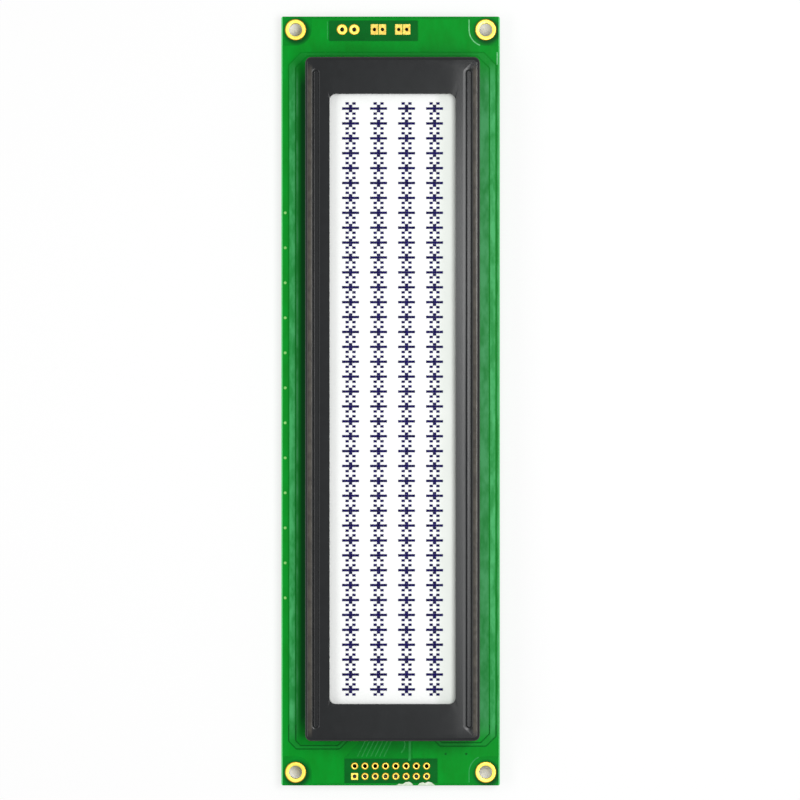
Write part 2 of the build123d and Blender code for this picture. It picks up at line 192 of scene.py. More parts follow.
@dataclass(frozen=True)
class Pools(Patch):
    """Round, soft-edged pools.

    Attributes:
        centres: Their middles in millimetres.
        reach: Distances from a middle between which a pool dies out, in millimetres.
    """

    centres: tuple[Point, ...] = ()
    reach: Point = (2.5, 3.9)

    def share(self, tree: NodeTree) -> NodeSocket:
        """Find the pools.

        Args:
            tree: The material's nodes.

        Returns:
            1 in the pools and 0 outside them.
        """
        add = partial(add_node, tree)
        flatten = {"operation": "MULTIPLY", 1: (1.0, 1.0, 0.0)}
        place = add("VectorMath", flatten, {0: add("TexCoord").outputs["Object"]})
        nearest = None
        for x, y in self.centres:
            centre = {"operation": "DISTANCE", 1: (x * MM, y * MM, 0.0)}
            away = add("VectorMath", centre, {0: place}).outputs["Value"]
            nearest = add("Math", {"operation": "MINIMUM"}, {0: nearest, 1: away}) if nearest else away
        full, none = [limit * MM for limit in self.reach]
        edges = {"From Min": none, "From Max": full}
        return add("MapRange", {"interpolation_type": "SMOOTHSTEP", **edges}, {"Value": nearest}).outputs[0]


@dataclass(frozen=True)
class CutEdges(Patch):
    """The board's cut sides, and a strip along its long sides that the mask doesn't reach.

    Attributes:
        bare: Width of the strip in millimetres.
        half_width: Half width of the board in millimetres.
    """

    bare: float = 0.33
    half_width: float = 27.0

    def share(self, tree: NodeTree) -> NodeSocket:
        """Find the sides and the strip.

        Args:
            tree: The material's nodes.

        Returns:
            1 on them and 0 elsewhere.
        """
        add = partial(add_node, tree)
        across = add("Math", {"operation": "ABSOLUTE"}, {0: place_parts(tree)[1]})
        strip = add("Math", {"operation": "GREATER_THAN", 1: (self.half_width - self.bare) * MM}, {0: across})
        upright = add("SeparateXYZ", links={0: add("NewGeometry").outputs["Normal"]}).outputs[2]
        flat = add("Math", {"operation": "ABSOLUTE"}, {0: upright})
        side = add("Math", {"operation": "LESS_THAN", 1: 0.5}, {0: flat})
        return add("Math", {"operation": "MAXIMUM"}, {0: strip, 1: side}).outputs[0]


@dataclass(frozen=True)
class Layers(Patch):
    """Thin layers across X.

    Attributes:
        pitch: Thickness of one layer pair in millimetres.
        gap: Height of a sine above which a layer lies.
    """

    pitch: float = 0.4
    gap: float = 0.2

    def share(self, tree: NodeTree) -> NodeSocket:
        """Find the layers.

        Args:
            tree: The material's nodes.

        Returns:
            1 in the layers and 0 between them.
        """
        turns = {"operation": "MULTIPLY", 1: math.tau / (self.pitch * MM)}
        wave = add_node(tree, "Math", turns, {0: place_parts(tree)[0]})
        sine = add_node(tree, "Math", {"operation": "SINE"}, {0: wave})
        return add_node(tree, "Math", {"operation": "GREATER_THAN", 1: self.gap}, {0: sine}).outputs[0]


@dataclass(frozen=True)
class Finish:
    """A surface with two close colours, an uneven gloss and a fine relief, all from one grain.

    Attributes:
        name: What the real surface is.
        colour: Main sRGB colour.
        second: Colour that the grain mixes in.
        grain: Size of one grain in millimetres.
        relief: Height of the grain in millimetres.
        roughness: Least and most roughness.
        metallic: 1 for bare metal.
        ior: Index of refraction.
        alpha: How much of the surface hides what lies behind it.
        stretch: How much the grain is squeezed along each axis.
        specular: Level of the plain reflection.
        patches: Other colours on parts of the surface, the last on top.
    """

    name: str
    colour: str
    second: str
    grain: float
    relief: float = 0.0
    roughness: Point = (0.35, 0.45)
    metallic: float = 0.0
    ior: float = 1.5
    alpha: float = 1.0
    stretch: tuple[float, float, float] = (1.0, 1.0, 1.0)
    specular: float = 0.5
    patches: tuple[Patch, ...] = ()

    def pair(self, tree: NodeTree, grain: Node, colours: tuple[str, str], low: float) -> NodeSocket:
        """Mix two colours by the grain.

        Args:
            tree: The material's nodes.
            grain: The grain, from 0 to 1.
            colours: The two sRGB colours.
            low: Value of the grain below which only the first shows; the second does above 1 - low.

        Returns:
            The mixed colour.
        """
        steeper = add_node(tree, "MapRange", {"From Min": low, "From Max": 1 - low}, {"Value": grain})
        shades = {"data_type": "RGBA", 6: linear(colours[0]), 7: linear(colours[1])}
        return add_node(tree, "Mix", shades, {0: steeper}).outputs[2]

    def coloured(self, tree: NodeTree, grain: Node) -> NodeSocket:
        """Mix the two main colours and lay the patches over them.

        Args:
            tree: The material's nodes.
            grain: The grain, from 0 to 1.

        Returns:
            The colour of the surface.
        """
        colour = self.pair(tree, grain, (self.colour, self.second), 0.3)
        for patch in self.patches:
            settings = {"data_type": "RGBA", 7: linear(patch.colour)}
            links = {0: patch.share(tree), 6: colour}
            if patch.second:
                links[7] = self.pair(tree, grain, (patch.colour, patch.second), 0.38)
            colour = add_node(tree, "Mix", settings, links).outputs[2]
        return colour

    def build(self) -> Material:
        """Make the material.

        Returns:
            The material, ready to assign.
        """
        material = bpy.data.materials.new(self.name)
        material.use_nodes = True
        tree = material.node_tree
        tree.nodes.clear()
        add = partial(add_node, tree)
        place = add("Mapping", {"Scale": self.stretch}, {"Vector": add("TexCoord").outputs["Object"]})
        noise = {"Scale": 1 / (self.grain * MM), "Detail": 3.0, "Roughness": 0.55}
        grain = add("TexNoise", noise, {"Vector": place})
        low, high = self.roughness
        gloss = add("MapRange", {"To Min": low, "To Max": high}, {"Value": grain})
        links = {"Base Color": self.coloured(tree, grain), "Roughness": gloss}
        if self.relief:
            links["Normal"] = add("Bump", {"Distance": self.relief * MM}, {"Height": grain})
        settings = {"Metallic": self.metallic, "IOR": self.ior, "Alpha": self.alpha,
                    "Specular IOR Level": self.specular}
        add("OutputMaterial", links={"Surface": add("BsdfPrincipled", settings, links)})
        return material


# Liquid photo-imaged mask, printed and baked: smooth and glossy, with next to no grain.
MASK = {"grain": 2.5, "relief": 0.01, "roughness": (0.22, 0.3), "specular": 0.06}
# The mask on laminate, pale at the cut edges, with painted shade round the rings, set off towards -X and -Y
# like a cast shadow.
MASK_ON_LAMINATE = Finish("solder_mask_on_laminate_with_painted_ring_shade", "#038925", "#047e20", **MASK, patches=(
    # Painted shade round the mounting rings.
    Pools("#034a19", centres=((91.4, 23.2), (91.4, -23.8), (-92.1, 23.2), (-92.1, -23.8))),
    CutEdges("#62cf7a")))
# Mask that has run down beside a copper edge: thickest there, so it shows as a dark line.
MASK_AT_STEP = Finish("solder_mask_at_copper_step", "#045f1c", "#066820", **MASK)
# Mask over the bare glass-epoxy of the two pad fields, with no copper behind it on either side: a deep green.
MASK_ON_FIELD = Finish("solder_mask_on_bare_field", "#035c1c", "#046621", **MASK)
# Painted highlight: a pale green line on the mask over a copper edge that faces the light.
MASK_EDGE_HIGHLIGHT = Finish(
    "solder_mask_painted_edge_highlight", "#7dcf8d", "#4fae68", grain=1.2, relief=0.02, roughness=(0.25, 0.4),
    specular=0.2)
# A fainter painted highlight: a green line on copper edges that turn away from the light.
MASK_EDGE_HIGHLIGHT_FAINT = Finish(
    "solder_mask_painted_faint_highlight", "#2fa04e", "#1f9040", grain=1.2, relief=0.02, roughness=(0.25, 0.4),
    specular=0.15)
# The same mask over copper: the metal shines through, so it is a brighter green with slow waves in its gloss.
# Painted light on it: a pale mottled sheen along -Y and a pale stripe at +Y where it catches the lamps, a
# painted glint at the -Y edge, and a painted shadow of the bezel beside its +Y side.
MASK_ON_COPPER = Finish(
    "solder_mask_on_copper_with_painted_sheen_and_shadow", "#039428", "#058720", grain=3.0, relief=0.05, roughness=(0.24, 0.36),
    stretch=(0.5, 1.0, 1.0), specular=0.06, patches=(
        # Painted sheen, stripe and glint.
        Bands("#469f60", "#27883f", bands=((-23.2, 1.7), (23.6, 1.1), (-26.65, 0.5))),
        # Painted shadow of the bezel.
        Bands("#034f1c", bands=((21.0, 2.0),))))
# The same over the pour behind the board, even from side to side.
MASK_ON_BACK_COPPER = Finish(
    "solder_mask_on_back_copper", "#03902a", "#058423", grain=3.5, relief=0.05, roughness=(0.24, 0.36),
    stretch=(0.5, 1.0, 1.0), specular=0.08)
# Mask over the wide guard trace: pale and mottled, because its waves catch the light.
MASK_ON_GUARD = Finish(
    "solder_mask_on_guard_trace", "#0a8e29", "#0f872b", grain=2.0, relief=0.05, roughness=(0.22, 0.36),
    stretch=(0.4, 1.0, 1.0), specular=0.08,
    patches=(Bands("#4dbb6e", "#2a9a48", bands=((24.3, 1.0), (-25.2, 1.0))),))
# Mask over the narrow traces: much like the pour, a little paler where it sinks beside their edges.
MASK_ON_TRACE = Finish(
    "solder_mask_on_traces", "#1d9038", "#2a9c46", grain=2.0, relief=0.03, roughness=(0.22, 0.34),
    specular=0.12)
# Mask sunk into a plated via: a paler spot, because the metal lies right behind it.
MASK_ON_VIA = Finish(
    "solder_mask_on_via", "#86d069", "#6fc05a", grain=0.5, relief=0.01, roughness=(0.25, 0.35))
# Bare glass-epoxy where the board's edge is chipped: matt and nearly white.
BARE_LAMINATE = Finish(
    "bare_glass_epoxy", "#e6ebdc", "#a9c8a2", grain=1.2, relief=0.02, roughness=(0.6, 0.8))
# Immersion gold over nickel: a satin, pale yellow metal.
GOLD = Finish(
    "immersion_gold", "#f0e26c", "#e8d255", grain=1.2, relief=0.003, roughness=(0.28, 0.4), metallic=1.0)
# The same gold on the jumper pads, duller and more orange where it has been soldered and cleaned.
DULL_GOLD = Finish(
    "handled_immersion_gold", "#c9bf5f", "#b9903d", grain=0.7, relief=0.004, roughness=(0.34, 0.48),
    metallic=1.0)
# The rim of a gold pad, where the mask's thin edge lies on it and the plating turns down: a deep amber line.
GOLD_RIM = Finish(
    "amber_gold_rim", "#b98a2e", "#a0721f", grain=0.8, relief=0.003, roughness=(0.35, 0.5), metallic=1.0)
# Baked black paint on steel: semi-gloss with a faint orange peel, and a lighter brownish band painted along its
# long rims as their warm reflection.
BLACK_PAINT = Finish(
    "baked_black_paint_with_painted_rim_reflection", "#0a0d0f", "#0f1214", grain=2.0, relief=0.002, roughness=(0.2, 0.25), specular=0.28,
    # Painted reflection: lighter brownish bands along the long rims.
    patches=(Bands("#46423a", "#35312b", bands=((19.75, 0.75), (-20.75, 0.75)), fade=(80.5, 82.5)),))
# Float glass under a clear film with a very light anti-glare matt: nearly nothing but its reflection.
FILM_ON_GLASS = Finish(
    "polariser_film_on_glass", "#7f8280", "#868986", grain=0.5, roughness=(0.12, 0.2), alpha=0.02)
# Float glass with the white reflective film behind it. Light fills it from below, so it is drawn white.
# It is a little greyer along its -Y side, where less of that light arrives.
WHITE_BACKED_GLASS = Finish(
    "white_backed_float_glass", "#fbfcfb", "#f8faf8", grain=20.0, roughness=(0.1, 0.15), specular=0.2,
    patches=(Bands("#e9ede8", "#e4e9e3", bands=((-15.2, 5.0),), fade=(76.0, 78.0)),))
# Epoxy sealing line between the glasses: dull ivory.
SEAL_GLUE = Finish("cured_epoxy_glue", "#c9c3ae", "#bdb69d", grain=0.7, relief=0.01, roughness=(0.35, 0.5))
# Turned liquid crystal: dark blue violet with a slightly uneven depth.
DARK_CRYSTAL = Finish(
    "turned_liquid_crystal", "#0c0638", "#160a5c", grain=0.9, roughness=(0.3, 0.4), specular=0.04)
# White reflective polariser and diffuser films: smooth and even, faintly pearly.
WHITE_FILM = Finish(
    "white_polyester_film", "#fcfdfc", "#f8faf8", grain=25.0, roughness=(0.4, 0.5), specular=0.3)
# Silicone rubber with carbon layers 0.1 mm thick, drawn at 0.4 mm so that they show.
ZEBRA_RUBBER = Finish(
    "layered_silicone_rubber", "#b8b8b2", "#aeaea8", grain=0.8, relief=0.01, roughness=(0.6, 0.75),
    patches=(Layers("#1b1b1d"),))
# White ABS, injection moulded: matt with a fine spark-eroded grain.
MOULDED_WHITE = Finish("moulded_white_abs", "#eceae4", "#e2e0d9", grain=0.5, relief=0.01,
                       roughness=(0.5, 0.65))
# Acrylic light guide, moulded and polished.
ACRYLIC = Finish("clear_acrylic", "#dcebee", "#d2e5ea", grain=6.0, roughness=(0.06, 0.12), ior=1.49,
                 alpha=0.35)
# White mask on the LED boards.
WHITE_MASK = Finish("white_solder_mask", "#e8e9e2", "#dddfd6", grain=1.5, relief=0.005, roughness=(0.3, 0.4))
# LED body: white moulding with a phosphor face.
LED_BODY = Finish("led_phosphor_resin", "#f2edb0", "#e9e08c", grain=0.8, roughness=(0.35, 0.5))
# Tinned brass pins: bright with fine drawing marks along them.
TINNED_PIN = Finish(
    "tinned_brass", "#c9c8c4", "#b4b3ae", grain=0.3, relief=0.002, roughness=(0.25, 0.38), metallic=1.0)
# Tin solder, frozen from liquid: bright, smooth and slightly wavy.
SOLDER = Finish(
    "tin_solder", "#d3d3d3", "#bdbdbf", grain=0.5, relief=0.01, roughness=(0.16, 0.28), metallic=1.0)
# Black potting epoxy, dropped and cured: smooth gloss with shallow flow waves.
POTTING = Finish(
    "black_potting_epoxy", "#121214", "#1a1a1d", grain=3.0, relief=0.05, roughness=(0.2, 0.34), ior=1.55,
    specular=0.35)
# Overglaze on a thick-film resistor: black glass.
OVERGLAZE = Finish("black_overglaze", "#151517", "#1d1d20", grain=0.4, roughness=(0.2, 0.3))
# Fired capacitor ceramic: matt tan.
CAPACITOR_CERAMIC = Finish(
    "fired_tan_ceramic", "#a07d58", "#8d6c49", grain=0.4, relief=0.005, roughness=(0.5, 0.62))
# Printed white legend ink.
LEGEND_INK = Finish("white_legend_ink", "#e9ebe4", "#dadcd3", grain=0.4, relief=0.004, roughness=(0.5, 0.6))


class Paintbox:
    """Builds each finish once and hands out its material."""

    def __init__(self) -> None:
        """Start with nothing built."""
        self.made: dict[str, Material] = {}

    def get(self, finish: Finish) -> Material:
        """Return the finish's material, built on first use."""
        if finish.name not in self.made:
            self.made[finish.name] = finish.build()
        return self.made[finish.name]


def arc(centre: Point, radius: float, start: float, end: float, steps: int = 12) -> Loop:
    """Points of an arc.

    Args:
        centre: Middle of the arc.
        radius: Its radius.
        start: First angle in degrees.
        end: Last angle in degrees.
        steps: Number of chords.

    Returns:
        The points, both ends included.
    """
    angles = [math.radians(start + (end - start) * i / steps) for i in range(steps + 1)]
    return [(centre[0] + radius * math.cos(a), centre[1] + radius * math.sin(a)) for a in angles]


def circle(centre: Point, radius: float, steps: int = 32) -> Loop:
    """Closed circle, its first point not repeated."""
    return arc(centre, radius, 0, 360, steps)[:-1]


def rounded_rectangle(centre: Point, half_x: float, half_y: float, radius: float, steps: int = 6) -> Loop:
    """Closed rectangle with rounded corners.

    Args:
        centre: Its middle.
        half_x: Half its length.
        half_y: Half its width.
        radius: Rounding of its corners.
        steps: Number of chords in a corner.

    Returns:
        The outline, counter-clockwise from its +X side.
    """
    x, y = half_x - radius, half_y - radius
    middles = [(centre[0] + i * x, centre[1] + j * y) for i, j in ((1, 1), (-1, 1), (-1, -1), (1, -1))]
    return [p for i, middle in enumerate(middles) for p in arc(middle, radius, 90 * i, 90 * i + 90, steps)]


def stadium(centre: Point, half_run: float, radius: float, steps: int = 10) -> Loop:
    """Closed long slot with round ends, running along X."""
    right = arc((centre[0] + half_run, centre[1]), radius, -90, 90, steps)
    return right + arc((centre[0] - half_run, centre[1]), radius, 90, 270, steps)


def mitre(before: Point, here: Point, after: Point) -> Vector:
    """Find how a corner moves when both its sides move one millimetre to the right.

    Args:
        before: The point before the corner.
        here: The corner.
        after: The point after it.

    Returns:
        The step, limited at sharp corners.
    """
    sides = [(Vector(here) - Vector(before)).normalized(), (Vector(after) - Vector(here)).normalized()]
    first, second = [Vector((side.y, -side.x)) for side in sides]
    middle = (first + second).normalized()
    return middle / max(middle.dot(first), MITRE_LIMIT)


def offset_loop(loop: Loop, distance: float) -> Loop:
    """Move each side of a closed counter-clockwise loop outward.

    Args:
        loop: The corners.
        distance: How far each side moves, negative for inward.

    Returns:
        The moved corners, mitred.
    """
    steps = [mitre(*corner) * distance for corner in zip(loop[-1:] + loop[:-1], loop, loop[1:] + loop[:1])]
    return [(x + step.x, y + step.y) for (x, y), step in zip(loop, steps)]


def ribbon(path: Loop, width: float) -> Loop:
    """Closed outline of a trace that follows a path.

    Args:
        path: Middle line of the trace.
        width: Its width.

    Returns:
        The outline, mitred at the bends and square at the ends.
    """
    (x0, y0), (x1, y1) = path[:2]
    (x2, y2), (x3, y3) = path[-2:]
    longer = [(2 * x0 - x1, 2 * y0 - y1), *path, (2 * x3 - x2, 2 * y3 - y2)]
    steps = [mitre(*corner) * (width / 2) for corner in zip(longer, path, longer[2:])]
    right, left = [[(x + sign * step.x, y + sign * step.y) for (x, y), step in zip(path, steps)]
                   for sign in (1, -1)]
    return right + left[::-1]


def plate_mesh(name: str, loops: list[Loop], low: float, high: float, bevel: float = 0.0) -> Mesh:
    """Flat plate between two heights, with holes where one loop lies in another.

    Args:
        name: Name of the mesh.
        loops: Closed outlines that don't cross.
        low: Height of the underside.
        high: Height of the top.
        bevel: Rounding of the rims.

    Returns:
        The mesh, in metres.
    """
    curve = bpy.data.curves.new(name, "CURVE")
    curve.dimensions = "2D"
    curve.fill_mode = "BOTH"
    curve.extrude = ((high - low) / 2 - bevel) * MM
    curve.bevel_depth = bevel * MM
    curve.bevel_resolution = 1
    curve.offset = -bevel * MM
    for loop in loops:
        spline = curve.splines.new("POLY")
        spline.points.add(len(loop) - 1)
        for point, (x, y) in zip(spline.points, loop):
            point.co = (x * MM, y * MM, 0, 1)
        spline.use_cyclic_u = True
    holder = bpy.data.objects.new(name, curve)
    mesh = bpy.data.meshes.new_from_object(holder)
    bpy.data.objects.remove(holder)
    bpy.data.curves.remove(curve)
    mesh.transform(Matrix.Translation((0, 0, (low + high) / 2 * MM)))
    mesh.name = name
    return mesh


def ring_quads(bm: BMesh, lower: list[BMVert], upper: list[BMVert]) -> None:
    """Join two closed rows of vertices with quads."""
    for i, j in zip(range(len(lower)), [*range(1, len(lower)), 0]):
        bm.faces.new((lower[i], lower[j], upper[j], upper[i]))


def lathe(bm: BMesh, profile: Loop, centre: Point, steps: int, second: list[int]) -> None:
    """Turn a closed profile of radius and height round a vertical axis.

    Args:
        bm: Mesh to add to, in millimetres.
        profile: Radius and height of each corner, round the section.
        centre: Place of the axis.
        steps: Number of stations round the axis.
        second: Numbers of the profile's sides that take the piece's second surface.
    """
    rows = [[bm.verts.new((*p, z)) for p in circle(centre, r, steps)] for r, z in profile]
    for number, (lower, upper) in enumerate(zip(rows, rows[1:] + rows[:1])):
        before = len(bm.faces)
        ring_quads(bm, lower, upper)
        bm.faces.ensure_lookup_table()
        for face in bm.faces[before:]:
            face.material_index = int(number in second)


def dome(bm: BMesh, profile: Loop, centre: Point, steps: int, waver: float, seed: int) -> None:
    """Turn an open profile that ends on the axis into a closed dome with a flat base.

    Args:
        bm: Mesh to add to, in millimetres.
        profile: Radius and height from the rim towards the crown; the crown's height comes last.
        centre: Place of the axis.
        steps: Number of stations round the axis.
        waver: How far the rim wanders from a circle, as a share of its radius.
        seed: Start of the random draws that shape the rim.
    """
    draw = random.Random(seed)
    waves = [(lobes, draw.uniform(0, math.tau), draw.uniform(0.3, 1.0)) for lobes in (2, 3, 5)]
    turns = [math.tau * i / steps for i in range(steps)]
    swells = [1 + waver * sum(size * math.sin(lobes * a + shift) for lobes, shift, size in waves) / 2
              for a in turns]
    rows = [[bm.verts.new((centre[0] + r * swell * math.cos(a), centre[1] + r * swell * math.sin(a), z))
             for a, swell in zip(turns, swells)] for r, z in profile[:-1]]
    for lower, upper in zip(rows, rows[1:]):
        ring_quads(bm, lower, upper)
    crown = bm.verts.new((*centre, profile[-1][1]))
    for here, after in zip(rows[-1], rows[-1][1:] + rows[-1][:1]):
        bm.faces.new((here, after, crown))
    bm.faces.new(rows[0][::-1])


def block(bm: BMesh, low: tuple[float, float, float], high: tuple[float, float, float]) -> None:
    """Add a closed block between two corners.

    Args:
        bm: Mesh to add to, in millimetres.
        low: Its lowest corner.
        high: Its highest corner.
    """
    middle = Matrix.Translation([(a + b) / 2 for a, b in zip(low, high)])
    size = Matrix.Diagonal([b - a for a, b in zip(low, high)] + [1.0])
    bmesh.ops.create_cube(bm, size=1.0, matrix=middle @ size)


def mesh_from(bm: BMesh, name: str, smooth: bool = False) -> Mesh:
    """Finish a bmesh drawn in millimetres.

    Args:
        bm: The bmesh; it is freed.
        name: Name of the mesh.
        smooth: Whether its faces shade as one surface.

    Returns:
        The mesh, in metres.
    """
    bmesh.ops.recalc_face_normals(bm, faces=bm.faces)
    mesh = bpy.data.meshes.new(name)
    bm.to_mesh(mesh)
    bm.free()
    mesh.transform(Matrix.Scale(MM, 4))
    for polygon in mesh.polygons:
        polygon.use_smooth = smooth
    return mesh


def soften(piece: Object, width: float) -> None:
    """Round the sharp edges of a piece and keep its flats flat.

    Args:
        piece: The object.
        width: Width of the rounding in millimetres.
    """
    bevel = piece.modifiers.new("rounding", "BEVEL")
    bevel.width = width * MM
    bevel.segments = 2
    bevel.limit_method = "ANGLE"
    bevel.angle_limit = math.radians(50)
    piece.modifiers.new("flat_normals", "WEIGHTED_NORMAL")


def box_mm(node: str) -> tuple[Vector, Vector, Vector]:
    """Lowest corner, highest corner and middle of a carried node, in millimetres."""
    low, high = [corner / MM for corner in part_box(node)]
    return low, high, (low + high) / 2


@dataclass
class SubAssembly:
    """What the sub-assemblies share: dressing the carried nodes and adding pieces of their own.

    Attributes:
        paints: Gives the material of each finish.
    """

    paints: Paintbox

    def dress(self, nodes: dict[str, Object], finish: Finish, *names: str) -> None:
        """Give carried nodes a finish.

        Args:
            nodes: The frame's nodes by name.
            finish: Their surface.
            names: Which of them take it.
        """
        for name in names:
            slots = nodes[name].data.materials
            slots.clear()
            slots.append(self.paints.get(finish))
            LOG.info("dressed %s with %s", name, finish.name)

    def piece(self, name: str, mesh: Mesh, finish: Finish, slot: Slot, *stands_for: str) -> Object:
        """Add a piece that rides on the root body.

        Args:
            name: Name of the piece.
            mesh: Its mesh, in metres.
            finish: Its surface.
            slot: The record's slot for its finish; not used.
            stands_for: Nodes that it replaces.

        Returns:
            The new object.
        """
        piece = bpy.data.objects.new(name, mesh)
        bpy.context.scene.collection.objects.link(piece)
        mesh.materials.append(self.paints.get(finish))
        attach(piece, "root")
        if stands_for:
            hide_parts(*stands_for)
        LOG.info("added %s with %d faces", name, len(mesh.polygons))
        return piece


@dataclass
class Board(SubAssembly):
    """The circuit board's mask, copper relief, plated holes and wear.

    Attributes:
        half_x, half_y: Half the board's length and width.
        back_z, face_z: Heights of its two faces.
        relief: How far mask over copper stands above the laminate.
        relief_bevel: Rounding of the relief's rims.
        pour_inset: Distances of the copper pour from the board's ends and sides.
        mount_inset: Distances of the mounting holes from them.
        corner_clearing: Radius of the pour's clearing round each mounting hole.
        guard_gap: Gap between the pour and the guard trace.
        guard_y: Places across the board of the guard trace's long edges: outer and inner at +Y, then at -Y.
        plating: How far the gold stands above the faces.
        flange: How far a pad reaches past the metal inside the board.
        rim_width: Width of a pad's amber rim.
        pin_1, pin_pitch: Place of the header's first hole, and distance between its holes.
        pads_x, supply_y, jumper_y: Places of the pads at the far end.
    """

    half_x: float = 95.0
    half_y: float = 27.0
    back_z: float = 1.9
    face_z: float = 3.5
    relief: float = 0.06
    relief_bevel: float = 0.03
    pour_inset: Point = (0.55, 0.31)
    mount_inset: Point = (3.25, 3.5)
    corner_clearing: float = 3.95
    guard_gap: float = 0.27
    guard_y: tuple[float, float, float, float] = (25.05, 23.55, -25.9, -24.55)
    plating: float = 0.06
    flange: float = 0.06
    rim_width: float = 0.17
    pin_1: Point = (-92.75, 8.89)
    pin_pitch: float = 2.54
    pads_x: float = 91.8
    supply_y: Point = (12.0, 9.0)
    jumper_y: tuple[float, float, float, float] = (3.985, 2.015, -2.015, -3.985)

    def height(self, side: Side, above: float) -> float:
        """Height of a point a given distance above one face."""
        return self.face_z + above if side is Side.FRONT else self.back_z - above

    def relief_plate(self, side: Side, name: str, loops: list[Loop], finish: Finish, above: float) -> None:
        """Add a thin raised plate on one face.

        Args:
            side: Face that carries it.
            name: Name of the piece.
            loops: Its outlines and holes.
            finish: Its surface.
            above: Height of its top above the face.
        """
        top = self.height(side, above)
        root = self.height(side, -2 * self.relief_bevel)
        low, high = sorted((top, root))
        self.piece(name, plate_mesh(name, loops, low, high, self.relief_bevel), finish, Slot.BOARD_MASK)

    def ring_places(self) -> list[Point]:
        """Centres of the mounting holes, in the order of their nodes."""
        x, y = self.half_x - self.mount_inset[0], self.half_y - self.mount_inset[1]
        return [(x, y), (x, -y), (-x, y), (-x, -y)]

    def header_places(self) -> list[Point]:
        """Centres of the header's holes, in pairs from pin 1."""
        x, y = self.pin_1
        return [(x + j * self.pin_pitch, y - i * self.pin_pitch) for i in range(8) for j in range(2)]

    def pour_edge(self) -> Point:
        """Distances of the pour's edges from the board's middle."""
        return self.half_x - self.pour_inset[0], self.half_y - self.pour_inset[1]

    def pour_outline(self, bite: Loop) -> Loop:
        """Outline of a pour over the whole board, counter-clockwise.

        Args:
            bite: Corners of the bay round the header, from +Y to -Y, without those on the edge.

        Returns:
            The outline, with a clearing round each mounting hole.
        """
        (ex, ey), (x, y), r = self.pour_edge(), self.ring_places()[0], self.corner_clearing
        loop = [(ex, y - r)] + arc((x, y), r, -90, -180) + [(x - r, ey)]
        loop += [(-x + r, ey)] + arc((-x, y), r, 0, -90) + [(-ex, y - r)]
        loop += [(-ex, 11.55), *bite, (-ex, -11.7)]
        loop += [(-ex, -y + r)] + arc((-x, -y), r, 90, 0) + [(-x + r, -ey)]
        return loop + [(x - r, -ey)] + arc((x, -y), r, 180, 90) + [(ex, -y + r)]

    def guard_band(self) -> Loop:
        """Outline of the guard trace that runs round the bezel and dives under it beside the header."""
        top, inner_top, low, inner_low = self.guard_y
        outer = [(-82.6, 9.4), (-85.85, 12.7), (-85.85, 23.2), (-84.0, top), (83.0, top), (85.95, 22.1)]
        outer += [(85.95, -23.0), (83.0, low), (-82.8, low), (-85.15, -23.5), (-85.15, -12.3), (-82.6, -9.7)]
        inner = [(-82.6, 10.3), (-85.25, 12.95), (-85.25, 22.3), (-84.0, inner_top), (82.4, inner_top)]
        inner += [(85.35, 20.6), (85.35, -21.5), (82.3, inner_low), (-82.3, inner_low), (-84.55, -22.3)]
        return outer[::-1] + inner + [(-84.55, -12.6), (-82.6, -10.6)]

    def supply_field(self, wider: float, radius: float) -> Loop:
        """Outline round the supply and jumper pads, wider than the bare field by a given gap."""
        return rounded_rectangle((91.5, 4.25), 2.5 + wider, 10.95 + wider, radius, 2)

    def pad_fields(self) -> list[Loop]:
        """Fields of bare laminate round the header pads and the supply pads, with holes for the pads."""
        ex, inner = self.pour_edge()[0], 88.35
        header = [(-ex, 11.4), (-ex, -11.55), (-inner, -11.55), (-inner, 11.4)]
        pads = [circle(place, 0.8, 24) for place in self.header_places()]
        pads += [circle((self.pads_x, y), 1.25, 32) for y in self.supply_y]
        pads += [rounded_rectangle((self.pads_x, y), 1.25, 1.8, 0.1, 2) for y in (3.0, -3.0)]
        return [header, self.supply_field(0.0, 0.25)] + pads

    def guard_steps(self) -> list[Loop]:
        """Draw dark lines beside the guard trace, where it turns under the bezel at the header's end."""
        g, (top, inner_top, low, inner_low) = self.guard_gap / 2, self.guard_y
        paths = [[(-84.1, top + g), (-85.85 - g, 23.3), (-85.85 - g, 12.6), (-82.7, 9.4 - g)],
                 [(-83.9, inner_top - g), (-85.25 + g, 22.2), (-85.25 + g, 13.1), (-82.7, 10.5 + g)],
                 [(-82.9, low - g), (-85.15 - g, -23.6), (-85.15 - g, -12.2), (-82.7, -9.7 + g)],
                 [(-82.2, inner_low + g), (-84.55 + g, -22.2), (-84.55 + g, -12.7), (-82.7, -10.8 - g)]]
        return [ribbon([(-80.0, path[0][1]), *path], self.guard_gap - 0.03) for path in paths]

    def painted_edge_highlights(self) -> tuple[list[Loop], list[Loop]]:
        """Draw painted highlights as thin lines along the pour's edges at the -Y mounting holes, the supply
        field and the side, where a painted glint lies.

        Returns:
            The clear painted highlights and the faint ones.
        """
        (x, y), r = self.ring_places()[1], self.corner_clearing + 0.16
        far = [(x + 2.5, y + r)] + arc((x, y), r, 90, 160, 8)
        near = [(-x - 2.5, y + r)] + arc((-x, y), r, 90, 25, 8)
        beside = [(x + 2.0, 15.6), (x - 2.4, 15.6)]
        glint = [(86.2, -26.35), (83.1, -26.35)]
        return [ribbon(far, 0.3), ribbon(glint, 0.32)], [ribbon(near, 0.3), ribbon(beside, 0.2)]

    def front_traces(self) -> list[Loop]:
        """Draw the traces between the header and the bezel.

        Returns:
            Their outlines: seven in a fan, one straight and one hooked.
        """
        fan = [[(-87.9, 8.2 - i * 1.09), (-82.6, 5.6 - i * 1.09)] for i in range(7)]
        straight = [(-88.9, -4.6), (-88.2, -4.75), (-82.6, -4.75)]
        hook = [(-82.6, -2.6), (-83.6, -3.2), (-84.8, -3.6), (-86.0, -3.3), (-86.9, -2.6)]
        return [ribbon(path, 0.26) for path in fan] + [ribbon(straight, 0.6), ribbon(hook, 0.36)]

